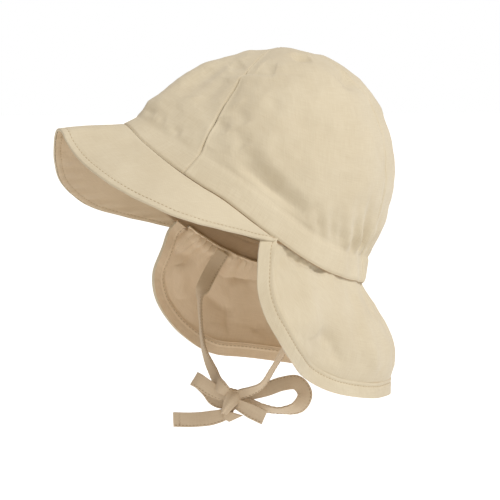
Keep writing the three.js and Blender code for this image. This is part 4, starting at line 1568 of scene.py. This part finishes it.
@dataclass(frozen=True)
class Studio:
    """A pale floor and backdrop, a soft lamp, and the camera at the photograph's angle."""

    azimuth: float = 65.0
    elevation: float = 3.0
    distance: float = 1.5
    lens: float = 171.7
    aim_right: float = 0.00094
    aim_up: float = -0.02434
    floor: float = -0.34
    sky: float = 0.5

    def camera(self) -> bpy.types.Object:
        """Places the camera where the photographer's was.

        Returns:
            The camera.
        """
        a, e = math.radians(self.azimuth), math.radians(self.elevation)
        back = Vector((math.sin(a) * math.cos(e), -math.cos(a) * math.cos(e), math.sin(e)))
        right = Vector((math.cos(a), math.sin(a), 0))
        up = back.cross(right)
        eye = back * self.distance
        aim = right * self.aim_right + up * self.aim_up
        bpy.ops.object.camera_add(location=eye)
        camera = bpy.context.object
        camera.rotation_euler = (aim - eye).to_track_quat("-Z", "Y").to_euler()
        camera.data.lens = self.lens
        camera.data.sensor_width = 36
        camera.data.clip_start = 0.05
        bpy.context.scene.camera = camera
        return camera

    def lamp(self, name: str, place: tuple[float, float, float], size: float, power: float, tint: str) -> None:
        """A soft square lamp that looks at the cap.

        Args:
            name: The lamp's name.
            place: Where it stands, in metres.
            size: Its side, in metres.
            power: Its power in watts.
            tint: Its colour as sRGB hex.
        """
        bpy.ops.object.light_add(type="AREA", location=place)
        lamp = bpy.context.object
        lamp.name = name
        lamp.data.size = size
        lamp.data.energy = power
        lamp.data.color = linear(tint)[:3]
        lamp.rotation_euler = (-Vector(place)).to_track_quat("-Z", "Y").to_euler()

    def build(self) -> None:
        """Sets out the floor, the backdrop and the lamp."""
        deselect()
        bpy.ops.mesh.primitive_plane_add(size=60, location=(0, 0, self.floor))
        floor = name_piece(bpy.context.object, "studio_floor")
        paper = bpy.data.materials.new("matt_white_paper")
        paper.use_nodes = True
        tree = paper.node_tree
        shader = tree.nodes["Principled BSDF"]
        grain = add_node(tree, "ShaderNodeTexNoise", {"Scale": 40.0})
        tone = add_node(tree, "ShaderNodeMix", {"data_type": "RGBA", 6: linear("#F4F4F3"), 7: linear("#FAFAFA")},
                        {0: grain.outputs["Fac"]})
        tree.links.new(tone.outputs[2], shader.inputs["Base Color"])
        shown = add_node(tree, "ShaderNodeLightPath")
        glow = add_node(tree, "ShaderNodeMath", {"operation": "MULTIPLY_ADD", 1: 0.6, 2: 0.2},
                        {0: shown.outputs["Is Camera Ray"]})
        tree.links.new(glow.outputs[0], shader.inputs["Emission Strength"])
        shader.inputs["Roughness"].default_value = 0.9
        shader.inputs["Emission Color"].default_value = (1, 1, 1, 1)
        floor.data.materials.append(paper)
        scene = bpy.context.scene
        world = bpy.data.worlds.new("studio") if scene.world is None else scene.world
        scene.world = world
        world.use_nodes = True
        sky = world.node_tree
        shown = add_node(sky, "ShaderNodeLightPath")
        strength = add_node(sky, "ShaderNodeMath", {"operation": "MULTIPLY_ADD", 1: 1 - self.sky, 2: self.sky},
                            {0: shown.outputs["Is Camera Ray"]})
        sky.links.new(strength.outputs[0], sky.nodes["Background"].inputs["Strength"])
        warmth = add_node(sky, "ShaderNodeMix", {"data_type": "RGBA", 6: linear("#FFF5EB"), 7: linear("#FFFFFF")},
                          {0: shown.outputs["Is Camera Ray"]})
        sky.links.new(warmth.outputs[2], sky.nodes["Background"].inputs["Color"])
        self.lamp("key", (1.5, 0.6, 1.8), 0.8, 33, "#FFFFFF")
        scene.view_settings.view_transform = "Standard"
        scene.view_settings.look = "None"


def main() -> None:
    """Makes the camera, the tapes, and then the cap from the band outwards."""
    logging.basicConfig(level=logging.INFO, format="%(name)s %(message)s")
    studio = Studio()
    studio.camera()
    outer = WovenCotton("washed_cotton_weave", "#E3DAC2", "#C5B698", crumple=0.36).material()
    # the lining and the seam tapes are the outer cotton a shade darker: painted shade under the peak and inside the
    # crown
    lining = WovenCotton("lining_cotton_painted_shade", "#DBC8AA", "#BCA584").material()
    # the flap's inner side is the same cloth painted lighter and warmer: painted bounce light inside the flap
    painted_light_inside = WovenCotton("washed_cotton_painted_light_inside", "#F2DFC3", "#D5BD9C").material()
    # the headband facing and the casing are darker and warmer than the outer cotton: painted shade inside the cap
    facing = WovenCotton("facing_cotton_painted_shade", "#C4A988", "#A0866A").material()
    tape_cloth = WovenCotton("folded_cotton_tape", "#E6D5BA", "#C6B092", crumple=0.12).material()
    # the thread is darker than the cloth, partly its own tone and partly painted shade along the sunk stitch line
    thread = SewingThread("cream_sewing_thread", "#B5A17E").material()
    tape_thread = SewingThread("beige_sewing_thread", "#9C8260", "#B79F7A").material()
    flap = NeckFlap()
    Tapes().build(flap, tape_cloth, tape_thread)
    Crown().build(outer, lining)
    Headband().build(facing, thread)
    Peak().build(outer, lining, thread)
    flap.build(outer, painted_light_inside, thread)
    studio.build()


if __name__ == "__main__":
    main()
